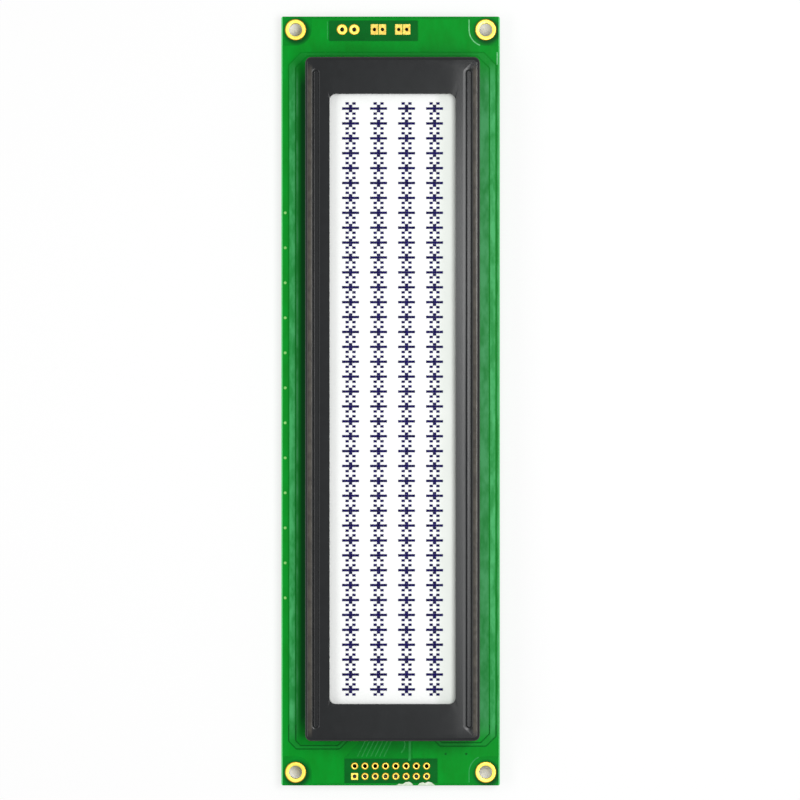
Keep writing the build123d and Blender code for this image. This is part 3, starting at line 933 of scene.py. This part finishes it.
    def edge_chips(self) -> list[Loop]:
        """Draw two scalloped patches at the -X edge where the mask is worn away.

        Returns:
            Their outlines.
        """
        first = [(-1.4, 0.05), (-2.1, 0.45), (-3.0, 0.35), (-3.7, 0.8), (-4.6, 0.95), (-5.2, 0.6),
                 (-5.6, 0.05)]
        second = [(-6.7, 0.05), (-7.2, 0.6), (-7.9, 0.8), (-8.5, 0.6), (-9.3, 0.95), (-10.1, 0.75),
                  (-11.0, 0.05)]
        return [[(-self.half_x + depth, y) for y, depth in inner] for inner in (first, second)]

    def build_front(self) -> None:
        """Add the copper relief, vias and wear of the front."""
        bay = [(-88.2, 11.55), (-82.4, 5.9), (-82.4, -5.4), (-88.2, -5.4), (-88.2, -11.7)]
        pour = [self.pour_outline(bay), offset_loop(self.guard_band(), self.guard_gap),
                self.supply_field(0.15, 0.3)]
        lit, faint = self.painted_edge_highlights()
        tented = [circle((-87.2, y), 0.3, 12) for y in (-13.6, -18.7)]
        stitching = [circle((46.5 - i * 8.65, 26.05), 0.35, 16) for i in range(12)]
        copper = self.relief
        for plate in [("front_copper_pour", pour, MASK_ON_COPPER, copper),
                      ("front_pad_fields", self.pad_fields(), MASK_ON_FIELD, copper / 4),
                      ("front_guard_steps", self.guard_steps(), MASK_AT_STEP, copper / 2),
                      # Painted highlights on pour edges that catch the light, and a painted glint.
                      ("front_painted_edge_highlights", lit, MASK_EDGE_HIGHLIGHT, copper + 0.01),
                      ("front_faint_painted_highlights", faint, MASK_EDGE_HIGHLIGHT_FAINT, copper + 0.01),
                      ("front_guard_trace", [self.guard_band()], MASK_ON_GUARD, copper),
                      ("front_header_traces", self.front_traces(), MASK_ON_TRACE, copper),
                      ("front_tented_vias", tented, MASK_AT_STEP, copper + 0.01),
                      ("front_vias", stitching, MASK_ON_VIA, copper + 0.03),
                      ("front_edge_chips", self.edge_chips(), BARE_LAMINATE, 0.08)]:
            self.relief_plate(Side.FRONT, *plate)

    def collar_profile(self, hole: float, barrel: float) -> Loop:
        """Section of a plated hole with a thin flange on both faces.

        Args:
            hole: Radius of the hole.
            barrel: Radius of the metal inside the board.

        Returns:
            Radius and height of each corner, mirrored about the board's middle.
        """
        top, skin = self.face_z, self.face_z + self.plating
        rim, lip = barrel + self.flange, 0.1
        upper = [(hole, top - 0.05), (hole + 0.03, skin - 0.02), (hole + lip, skin)]
        upper += [(rim - self.rim_width, skin), (rim - 0.04, skin - 0.015)]
        upper += [(rim, top + self.plating / 2), (rim, top), (barrel, top)]
        return upper + [(r, self.back_z + top - z) for r, z in reversed(upper)]

    def plated_hole(self, name: str, places: list[Point], hole: float, barrel: float, steps: int,
                    stands_for: str) -> None:
        """Add round plated holes with an amber rim and lip.

        Args:
            name: Name of the piece.
            places: Centre of each hole.
            hole: Radius of a hole.
            barrel: Radius of the metal inside the board.
            steps: Number of stations round each hole.
            stands_for: Node that the piece replaces.
        """
        profile = self.collar_profile(hole, barrel)
        amber = [number for side in (0, 3, 4, 5) for number in (side, len(profile) - 2 - side)]
        bm = bmesh.new()
        for place in places:
            lathe(bm, profile, place, steps, amber)
        piece = self.piece(name, mesh_from(bm, name, True), GOLD, Slot.GOLD, stands_for)
        piece.data.materials.append(self.paints.get(GOLD_RIM))

    def square_collar(self, name: str, place: Point, half_x: float, half_y: float, hole: float) -> Mesh:
        """Plated hole with a rectangular pad; the pad's rim is a little larger than the board's cut."""
        loops = [rounded_rectangle(place, half_x, half_y, 0.12, 3), circle(place, hole)]
        return plate_mesh(name, loops, self.back_z - self.plating, self.face_z + self.plating, 0.05)

    def build_plated_holes(self) -> None:
        """Add the round and square plated holes in place of the few-sided ones."""
        for number, place in enumerate(self.ring_places(), 1):
            self.plated_hole(f"ring_plating_{number}", [place], 1.6, 2.525, 64,
                             f"mounting_hole_ring_{number}")
        first, *others = self.header_places()
        self.plated_hole("header_plating", others, 0.475, 0.825, 32, "header_pads")
        pin_1 = self.square_collar("header_pin_1_plating", first, 0.86, 0.86, 0.475)
        self.piece("header_pin_1_plating", pin_1, GOLD, Slot.GOLD)
        for number, y in enumerate(self.supply_y, 1):
            place = (self.pads_x, y)
            self.plated_hole(f"supply_plating_{number}", [place], 0.5, 1.275, 48, f"backlight_pad_{number}")
        for number, y in enumerate(self.jumper_y, 1):
            mesh = self.square_collar("jumper_plating", (self.pads_x, y), 1.325, 0.925, 0.4)
            self.piece(f"jumper_plating_{number}", mesh, DULL_GOLD, Slot.GOLD, f"jumper_pad_{number}")

    def build_back(self) -> None:
        """Add the copper relief and legend rings behind the board."""
        middle = 0.5
        domes = [(-65 + 26 * i, 0.0) for i in range(6)]
        slots = [(middle - 67.5 + 27 * i, y) for i in range(6) for y in (20.65, -21.65)]
        chips = [(end + i * 3.2, y) for end in (-65, 65) for y in (13.0, -13.0) for i in range(-2, 3)]
        pins = [(middle + end * 81.65, y) for end in (1, -1) for y in (12.5, -13.5)]
        short = [(middle + end * 83.5, y) for end in (1, -1) for y in (7.5, -8.5)]
        pour = [self.pour_outline([(-88.2, 11.55), (-88.2, -11.7)]), self.supply_field(0.15, 0.3)]
        for places, *size in [(domes, 11.6, 11.2, 1.2, 3), (slots, 1.9, 0.9, 0.2, 2),
                              (chips, 1.0, 1.5, 0.2, 2)]:
            pour += [rounded_rectangle(place, *size) for place in places]
        pour += [circle(place, 1.5, 24) for place in pins]
        pour += [rounded_rectangle(place, 0.9, 1.9, 0.2, 2) for place in short]
        self.relief_plate(Side.BACK, "back_copper_pour", pour, MASK_ON_BACK_COPPER, self.relief)
        fans = [loop for place in domes for loop in self.fan_out(place)]
        self.relief_plate(Side.BACK, "back_fan_traces", fans, MASK_ON_GUARD, self.relief)
        rings = [circle(place, radius, 64) for place in domes for radius in (8.3, 8.1)]
        self.relief_plate(Side.BACK, "back_legend_rings", rings, LEGEND_INK, self.relief + 0.015)

    def fan_out(self, centre: Point) -> list[Loop]:
        """Draw the traces that leave the bare chip under one dome, each bent once.

        Args:
            centre: Middle of the dome.

        Returns:
            Their outlines, on four sides.
        """
        loops = []
        for sx, sy in ((1, 0), (-1, 0), (0, 1), (0, -1)):
            for i in range(-5, 6):
                corners = [(6.5, i * 0.85), (8.8, i * 0.85), (10.4, i * 1.35)]
                path = [(centre[0] + sx * out + abs(sy) * along, centre[1] + sy * out + abs(sx) * along)
                        for out, along in corners]
                loops.append(ribbon(path, 0.28))
        return loops

    def build(self, nodes: dict[str, Object]) -> None:
        """Dress the board and add its pieces.

        Args:
            nodes: The frame's nodes by name.
        """
        self.dress(nodes, MASK_ON_LAMINATE, "pcb")
        self.build_front()
        self.build_back()
        self.build_plated_holes()


@dataclass
class Bezel(SubAssembly):
    """The folded and embossed steel bezel, drawn as its outer skin and given the sheet's thickness.

    Attributes:
        centre: Middle of the display on the board.
        half_x, half_y: Half its outer length and width.
        foot_z, top_z: Heights of the board's face and of the bezel's front.
        sheet: Thickness of the steel.
        bend, bend_steps: Outer radius of the folds, and the chords that draw it.
        corner_radius: Rounding of the four upright corners.
        window, window_radius: Half sizes of the window, and the rounding of its corners.
        groove_y, groove_half_width, groove_depth: Place and size of the two grooves.
        groove_lip: Width of the rounding along their rims.
        groove_end_gap: Distance of their ends from the bezel's ends.
        tab_half_width, tab_knee, tab_reach: Size of a tab, how far below the foot it bends, and how far then.
        sprung_from: Distance from the middle line at which the pressed face begins to fall away.
        sprung_slope: How steeply it falls beyond there; pressing the grooves leaves the steel slightly bowed.
        sprung_blend: Width over which its gloss turns from flat to sloping.
        rim_from, rim_slope: Where its outermost strip begins, and how steeply that strip turns up.
        long_tabs, short_tabs: Places of the tabs along the long and the short sides.
    """

    centre: Point = (0.5, -0.5)
    half_x: float = 83.75
    half_y: float = 21.4
    foot_z: float = 3.5
    top_z: float = 13.0
    sheet: float = 0.5
    bend: float = 0.9
    bend_steps: int = 6
    corner_radius: float = 1.5
    window: Point = (74.6, 15.4)
    window_radius: float = 1.5
    groove_y: float = 18.5
    groove_half_width: float = 1.2
    groove_depth: float = 0.45
    groove_lip: float = 0.1
    groove_end_gap: float = 2.8
    tab_half_width: float = 1.0
    tab_knee: float = 2.004
    tab_reach: float = 1.496
    sprung_from: float = 14.5
    sprung_slope: float = 0.04
    sprung_blend: float = 1.5
    rim_from: float = 19.75
    rim_slope: float = 0.04
    long_tabs: list[float] = field(default_factory=lambda: [-67.5 + 27 * i for i in range(6)])
    short_tabs: list[float] = field(default_factory=lambda: [-8.0, 8.0])

    def ring(self, inset: float) -> Loop:
        """Outline of the bezel a distance inside its outer faces, with a point at each edge of each tab.

        Args:
            inset: Distance inside the outer faces.

        Returns:
            The outline, counter-clockwise from the +X side.
        """
        x, y, r = self.half_x - inset, self.half_y - inset, self.corner_radius - inset
        short, long = [sorted(place + sign * self.tab_half_width for place in tabs for sign in (-1, 1))
                       for tabs in (self.short_tabs, self.long_tabs)]
        loop = [(x, s) for s in short] + arc((x - r, y - r), r, 0, 90, 5)
        loop += [(s, y) for s in reversed(long)] + arc((-x + r, y - r), r, 90, 180, 5)
        loop += [(-x, s) for s in reversed(short)] + arc((-x + r, -y + r), r, 180, 270, 5)
        return loop + [(s, -y) for s in long] + arc((x - r, -y + r), r, 270, 360, 5)

    def walls(self, bm: BMesh) -> list[BMVert]:
        """Fold the four walls down from the face, with their tabs.

        Args:
            bm: The bezel's mesh.

        Returns:
            The face's outer vertices.
        """
        turns = [math.radians(90 * i / self.bend_steps) for i in range(self.bend_steps + 1)]
        profile = [(self.bend * (1 - math.sin(a)), self.top_z - self.bend * (1 - math.cos(a))) for a in turns]
        profile.append((0.0, self.foot_z))
        rows = [[bm.verts.new((x, y, z)) for x, y in self.ring(inset)] for inset, z in profile]
        for upper, lower in zip(rows, rows[1:]):
            ring_quads(bm, upper, lower)
        knee = self.foot_z - self.tab_knee
        for above in zip(rows[-1], rows[-1][1:]):
            if self.is_tab(above[0].co, above[1].co):
                foot = [vertex.co for vertex in above]
                for inward, z in ((0.0, knee), (self.tab_reach, knee - self.tab_reach)):
                    below = [bm.verts.new((*self.moved_in(place, inward), z)) for place in foot]
                    bm.faces.new((above[0], *below, above[1]))
                    above = below
        return rows[0]

    def is_tab(self, first: Vector, second: Vector) -> bool:
        """Whether two neighbouring points of the foot are the two edges of one tab."""
        straight = math.isclose(first.x, second.x) or math.isclose(first.y, second.y)
        return straight and math.isclose((second - first).length, 2 * self.tab_half_width, rel_tol=0.01)

    def moved_in(self, place: Vector, distance: float) -> Point:
        """Move a point of an outer face towards the middle, square to that face.

        Args:
            place: The point.
            distance: How far it moves.

        Returns:
            Its new X and Y.
        """
        if math.isclose(abs(place.x), self.half_x, abs_tol=0.01):
            return place.x - math.copysign(distance, place.x), place.y
        return place.x, place.y - math.copysign(distance, place.y)

    def groove(self, bm: BMesh, y: float) -> list[BMVert]:
        """Press one round-ended groove into the face, steeper on its outer side.

        Args:
            bm: The bezel's mesh.
            y: Middle of the groove.

        Returns:
            The vertices of its rim.
        """
        w, d, rim = self.groove_half_width, self.groove_depth, self.groove_half_width + self.groove_lip
        half_run = self.half_x - self.groove_end_gap - w
        section = [(rim, rim, 0.0), (w, w + 0.02, -0.015), (w - 0.35, w - 0.08, -0.06),
                   (w - 0.7, w - 0.18, -0.11), (w - 0.8, w - 0.28, -0.19), (w - 0.88, w - 0.38, -0.32),
                   (w - 0.95, w - 0.46, -d + 0.04), (w - 1.05, w - 0.6, -d)]
        rows = []
        for inner, outer, z in section:
            outline = stadium((0, y + math.copysign((outer - inner) / 2, y)), half_run, (outer + inner) / 2)
            rows.append([bm.verts.new((px, py, self.top_z + z)) for px, py in outline])
        for outer, inner in zip(rows, rows[1:]):
            ring_quads(bm, outer, inner)
        bm.faces.new(rows[-1])
        return rows[0]

    def fallen(self, y: float) -> float:
        """How far the bowed face has fallen at a distance from its middle line."""
        low = self.sprung_slope * (min(y, self.rim_from) - self.sprung_from)
        return max(low, 0) - self.rim_slope * max(min(y, self.half_y - self.bend) - self.rim_from, 0)

    def skin(self) -> Mesh:
        """Draw the outer skin of the bezel: face, folds, walls, tabs and grooves.

        Returns:
            Its mesh, in metres.
        """
        bm = bmesh.new()
        outline = self.walls(bm)
        opening = rounded_rectangle((0, 0), *self.window, self.window_radius)
        loops = [outline, [bm.verts.new((x, y, self.top_z)) for x, y in opening]]
        loops += [self.groove(bm, sign * self.groove_y) for sign in (1, -1)]
        pairs = [pair for loop in loops for pair in zip(loop, loop[1:] + loop[:1])]
        edges = [bm.edges.get(pair) or bm.edges.new(pair) for pair in pairs]
        bmesh.ops.triangle_fill(bm, use_beauty=True, edges=edges, normal=(0, 0, 1))
        for line in (self.sprung_from, self.sprung_from + self.sprung_blend):
            for y in (line, -line):
                everything = bm.verts[:] + bm.edges[:] + bm.faces[:]
                bmesh.ops.bisect_plane(bm, geom=everything, plane_co=(0, y, 0), plane_no=(0, 1, 0))
        for vertex in bm.verts:
            if vertex.co.z > self.foot_z + self.bend:
                vertex.co.z -= self.fallen(abs(vertex.co.y))
        bmesh.ops.translate(bm, verts=bm.verts, vec=(*self.centre, 0))
        return mesh_from(bm, "bezel_sheet", True)

    def build(self) -> None:
        """Add the bezel in place of its node."""
        piece = self.piece("bezel_sheet", self.skin(), BLACK_PAINT, Slot.BEZEL_PAINT, "bezel")
        sheet = piece.modifiers.new("sheet", "SOLIDIFY")
        sheet.thickness = self.sheet * MM
        sheet.offset = -1
        sheet.use_even_offset = True
        soften(piece, 0.1)


@dataclass
class Cell(SubAssembly):
    """The glass cell: films, glasses, glue and the dots of the asterisks.

    Attributes:
        characters: Asterisks in a line.
        dot_pitch: Distance between dots along and across a line.
        dot_gap: Space between neighbouring dots.
    """

    characters: int = 40
    dot_pitch: Point = (0.62, 0.83)
    dot_gap: float = 0.02

    def asterisk_dots(self) -> Loop:
        """Places of the dots of one asterisk, in columns and rows from its middle."""
        arms = [(column, row) for column in (-2, 2) for row in (-1, 1)]
        return [(0, row) for row in range(-2, 3)] + arms + [(-1, 0), (1, 0)]

    def line_mesh(self, node: str) -> Mesh:
        """Draw the dots of one line of asterisks, filling the gap between the glasses.

        Args:
            node: Node of the line.

        Returns:
            The mesh, in metres.
        """
        low, high, middle = box_mm(node)
        half = 2.5 * self.dot_pitch[0]
        pitch = (high.x - low.x - 2 * half) / (self.characters - 1)
        half_x, half_y = [(size - self.dot_gap) / 2 for size in self.dot_pitch]
        bm = bmesh.new()
        for i in range(self.characters):
            for column, row in self.asterisk_dots():
                x = low.x + half + i * pitch + column * self.dot_pitch[0]
                y = middle.y + row * self.dot_pitch[1]
                block(bm, (x - half_x, y - half_y, low.z), (x + half_x, y + half_y, high.z))
        return mesh_from(bm, "asterisk_dots")

    def front_pane(self) -> Mesh:
        """Draw the front glass with its polariser laid on it, as one closed pane with a step.

        Returns:
            The mesh, in metres.
        """
        bm = bmesh.new()
        rows = []
        middle = box_mm("front_glass")[2]
        for low, high, _ in (box_mm("front_glass"), box_mm("front_polariser")):
            half = (high - low) / 2
            for z in (low.z, high.z):
                outline = rounded_rectangle((middle.x, middle.y), half.x, half.y, 0.4, 3)
                rows.append([bm.verts.new((x, y, z)) for x, y in outline])
        for lower, upper in zip(rows, rows[1:]):
            ring_quads(bm, lower, upper)
        bm.faces.new(rows[0][::-1])
        bm.faces.new(rows[-1])
        return mesh_from(bm, "front_pane")

    def build(self, nodes: dict[str, Object]) -> None:
        """Dress the cell and add its pane and dots.

        Args:
            nodes: The frame's nodes by name.
        """
        self.piece("front_pane", self.front_pane(), FILM_ON_GLASS, Slot.POLARISER,
                   "front_polariser", "front_glass")
        self.dress(nodes, WHITE_BACKED_GLASS, "rear_glass")
        self.dress(nodes, SEAL_GLUE, "cell_seal", "end_seal")
        self.dress(nodes, WHITE_FILM, "rear_polariser")
        for number in range(1, 5):
            node = f"character_line_{number}"
            self.piece(f"asterisk_dots_{number}", self.line_mesh(node), DARK_CRYSTAL,
                       Slot.LIQUID_CRYSTAL, node)


@dataclass
class Backlight(SubAssembly):
    """The parts between the cell and the board."""

    def build(self, nodes: dict[str, Object]) -> None:
        """Dress the light guide, its films and frame, the LEDs, pins and rubber strips.

        Args:
            nodes: The frame's nodes by name.
        """
        self.dress(nodes, WHITE_FILM, "diffuser_sheet", "reflector_sheet")
        self.dress(nodes, ACRYLIC, "light_guide")
        self.dress(nodes, MOULDED_WHITE, "backlight_frame")
        self.dress(nodes, ZEBRA_RUBBER, "zebra_strip_1", "zebra_strip_2")
        self.dress(nodes, WHITE_MASK, "led_board_1", "led_board_2")
        self.dress(nodes, LED_BODY, *[f"led_{i}" for i in range(1, 9)])
        self.dress(nodes, TINNED_PIN, *[f"backlight_pin_{i}" for i in range(1, 5)])


@dataclass
class BackParts(SubAssembly):
    """What is soldered or glued behind the board.

    Attributes:
        back_z: Height of the board's back.
        dome_radius, dome_height: Size of the epoxy domes.
        dome_steps: Stations from the rim of a dome to its crown.
        chip_half: Half the width and length of a chip.
        chip_x, chip_pitch: Distance of a row's middle from the board's, and between its chips.
        cap: Length of a chip's metal end.
    """

    back_z: float = 1.9
    dome_radius: float = 7.5
    dome_height: float = 1.4
    dome_steps: int = 12
    chip_half: Point = (0.625, 1.0)
    chip_x: float = 65.0
    chip_pitch: float = 3.2
    cap: float = 0.35

    def build_domes(self) -> None:
        """Add a smooth, slightly uneven dome for each bare chip."""
        turns = [math.radians(90 * i / self.dome_steps) for i in range(self.dome_steps + 1)]
        profile = [(self.dome_radius * math.cos(a), self.back_z - self.dome_height * math.sin(a) ** 1.2)
                   for a in turns]
        for number in range(1, 7):
            node = f"glob_top_{number}"
            bm = bmesh.new()
            dome(bm, profile, box_mm(node)[2][:2], 48, 0.02, number)
            self.piece(f"epoxy_dome_{number}", mesh_from(bm, "epoxy_dome", True), POTTING, Slot.EPOXY, node)

    def build_chips(self, node: str, count: int, y: float, height: float, finish: Finish, slot: Slot) -> None:
        """Add a row of chips with bodies, metal ends and solder.

        Args:
            node: Node that they stand for.
            count: Chips at each end of the board.
            y: Place of the row.
            height: Height of a chip.
            finish: Surface of the bodies.
            slot: The record's slot of the bodies.
        """
        bodies, ends = bmesh.new(), bmesh.new()
        (half_x, half_y), z = self.chip_half, self.back_z
        offsets = [(i - (count - 1) / 2) * self.chip_pitch for i in range(count)]
        for x in [end + offset for end in (-self.chip_x, self.chip_x) for offset in offsets]:
            block(bodies, (x - half_x + 0.02, y - half_y + self.cap, z - height),
                  (x + half_x - 0.02, y + half_y - self.cap, z))
            for start in (y - half_y, y + half_y - self.cap):
                block(ends, (x - half_x, start, z - height + 0.01), (x + half_x, start + self.cap, z))
        soften(self.piece(f"{node}_bodies", mesh_from(bodies, node), finish, slot, node), 0.05)
        soften(self.piece(f"{node}_ends", mesh_from(ends, node), SOLDER, Slot.SOLDER), 0.08)

    def build_solder(self) -> None:
        """Add a cone of solder round each backlight pin."""
        cone = [(1.0, 0.0), (0.8, 0.1), (0.6, 0.3), (0.47, 0.6), (0.42, 0.9), (0.0, 0.95)]
        for number in range(1, 5):
            bm = bmesh.new()
            centre = box_mm(f"backlight_pin_{number}")[2][:2]
            dome(bm, [(r, self.back_z - depth) for r, depth in cone], centre, 24, 0.03, number)
            stands_for = ["solder_joints"] if number == 1 else []
            self.piece(f"solder_cone_{number}", mesh_from(bm, "solder_cone", True), SOLDER, Slot.SOLDER,
                       *stands_for)

    def build(self) -> None:
        """Add the domes, chips and solder."""
        self.build_domes()
        self.build_chips("chip_resistors", 5, 13.0, 0.5, OVERGLAZE, Slot.RESISTOR)
        self.build_chips("chip_capacitors", 3, -13.0, 0.9, CAPACITOR_CERAMIC, Slot.CAPACITOR)
        self.build_solder()


@dataclass
class Studio:
    """Camera, lights and floor.

    Attributes:
        photo_size: Width and height of the photograph in pixels.
        board_centre_px: The board's middle in the photograph.
        px_per_mm: Scale of the photograph at the board's face.
        distance: Height of the camera above the board's face, in millimetres.
        face_z: Height of the board's face.
        sensor: Width of the camera's sensor in millimetres.
        sky: Strength of the world as light on the object.
        key_radiance, side_radiance, fill_radiance: Brightness of the lamps, where 1 is a white surface.
        floor_glow: How much of the floor's white is its own.
        shade_reach: How far round an object the floor's painted shade reaches, in millimetres.
        open_from, open_to: Shares of open sky between which the floor's own white comes up.
        pit: Share of open sky below which the floor is painted dark, as shade at the foot of a small hole.
    """

    photo_size: int = 800
    board_centre_px: Point = (390.6, 401.0)
    px_per_mm: float = 4.047
    distance: float = 900.0
    face_z: float = 3.5
    sensor: float = 36.0
    sky: float = 0.45
    key_radiance: float = 10.5
    side_radiance: float = 5.5
    fill_radiance: float = 3.0
    floor_glow: float = 0.75
    shade_reach: float = 60.0
    open_from: float = 0.24
    open_to: float = 0.55
    pit: float = 0.12

    def build_camera(self) -> None:
        """Look straight down, with the image's up along +X."""
        data = bpy.data.cameras.new("camera")
        data.sensor_width = self.sensor
        data.lens = self.sensor * self.distance * self.px_per_mm / self.photo_size
        camera = bpy.data.objects.new("camera", data)
        right = (self.photo_size / 2 - self.board_centre_px[0]) / self.px_per_mm
        up = (self.board_centre_px[1] - self.photo_size / 2) / self.px_per_mm
        camera.location = (up * MM, -right * MM, (self.face_z + self.distance) * MM)
        camera.rotation_euler = (0, 0, math.radians(-90))
        bpy.context.scene.collection.objects.link(camera)
        bpy.context.scene.camera = camera

    def shown_rays(self, tree: NodeTree) -> Node:
        """Tell the rays that show a surface from those that light the object.

        Args:
            tree: Nodes of the floor or of the world.

        Returns:
            1 for camera, glossy and transmission rays, 0 for the rest.
        """
        rays = add_node(tree, "LightPath").outputs
        links = {0: rays["Is Camera Ray"], 1: rays["Is Glossy Ray"]}
        seen = add_node(tree, "Math", {"operation": "MAXIMUM"}, links)
        return add_node(tree, "Math", {"operation": "MAXIMUM"}, {0: seen, 1: rays["Is Transmission Ray"]})

    def build_world(self) -> None:
        """White behind everything that looks at it, and a softer white as light."""
        world = bpy.data.worlds.new("studio")
        bpy.context.scene.world = world
        world.use_nodes = True
        world.node_tree.nodes.clear()
        add = partial(add_node, world.node_tree)
        levels = {"To Min": self.sky, "To Max": 1.0}
        strength = add("MapRange", levels, {"Value": self.shown_rays(world.node_tree)})
        background = add("Background", {"Color": linear("#ffffff")}, {"Strength": strength})
        add("OutputWorld", links={"Surface": background})

    def build_lamp(self, name: str, place: Vector, size: Point, radiance: float) -> None:
        """Add a rectangular soft lamp that faces the object.

        Args:
            name: Name of the lamp.
            place: Its middle, in metres.
            size: Its length along X and its height, in metres.
            radiance: Its brightness, where 1 is a white surface.
        """
        data = bpy.data.lights.new(name, "AREA")
        data.shape = "RECTANGLE"
        data.size, data.size_y = size
        data.energy = math.pi * radiance * size[0] * size[1]
        lamp = bpy.data.objects.new(name, data)
        lamp.location = place
        lamp.rotation_euler = (-place).to_track_quat("-Z", "Y").to_euler()
        bpy.context.scene.collection.objects.link(lamp)

    def build_floor(self) -> None:
        """Pale floor that shows white and keeps a light shadow; its colour and glow are painted darker where
        objects hide the sky, as under the board and in holes.
        """
        bm = bmesh.new()
        bmesh.ops.create_circle(bm, cap_ends=True, segments=64, radius=4000.0)
        floor = bpy.data.objects.new("floor", mesh_from(bm, "floor"))
        material = bpy.data.materials.new("pale_paper_with_painted_shade")
        material.use_nodes = True
        material.node_tree.nodes.clear()
        add = partial(add_node, material.node_tree)
        openness = add("AmbientOcclusion", {"Distance": self.shade_reach * MM, "samples": 8}).outputs["AO"]
        # Painted shade: the paper's colour turns dark brown where little open sky reaches.
        paleness = add("MapRange", {"From Min": self.pit, "From Max": self.open_from}, {"Value": openness})
        shades = {"data_type": "RGBA", 6: linear("#241c18"), 7: linear("#f2f2f2")}
        paper = add("BsdfDiffuse", links={"Color": add("Mix", shades, {0: paleness}).outputs[2]})
        # The glow fades where the sky is hidden too, which paints a shade round the object.
        edges = {"From Min": self.open_from, "From Max": self.open_to, "To Max": self.floor_glow}
        lit = add("MapRange", {"interpolation_type": "SMOOTHSTEP", **edges}, {"Value": openness})
        share = add("Math", {"operation": "MULTIPLY"}, {0: self.shown_rays(material.node_tree), 1: lit})
        glow = add("Emission", {"Color": linear("#ffffff")})
        add("OutputMaterial", links={"Surface": add("MixShader", links={0: share, 1: paper, 2: glow})})
        floor.data.materials.append(material)
        bpy.context.scene.collection.objects.link(floor)

    def build(self) -> None:
        """Set up the view transform, camera, world, lamps and floor."""
        bpy.context.scene.view_settings.view_transform = "Standard"
        self.build_camera()
        self.build_world()
        self.build_lamp("key_softbox", Vector((0.06, -0.145, 0.42)), (0.13, 0.19), self.key_radiance)
        self.build_lamp("side_softbox", Vector((-0.07, -0.145, 0.42)), (0.13, 0.19), self.side_radiance)
        self.build_lamp("fill_softbox", Vector((0.0, 0.42, 0.42)), (0.5, 0.2), self.fill_radiance)
        self.build_floor()


def main() -> None:
    """Load the frame, and build the studio and the sub-assemblies."""
    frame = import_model()
    paints = Paintbox()
    Studio().build()
    Board(paints).build(frame["nodes"])
    Backlight(paints).build(frame["nodes"])
    Cell(paints).build(frame["nodes"])
    Bezel(paints).build()
    BackParts(paints).build()


if __name__ == "__main__":
    logging.basicConfig(level=logging.INFO, format="%(message)s")
    main()
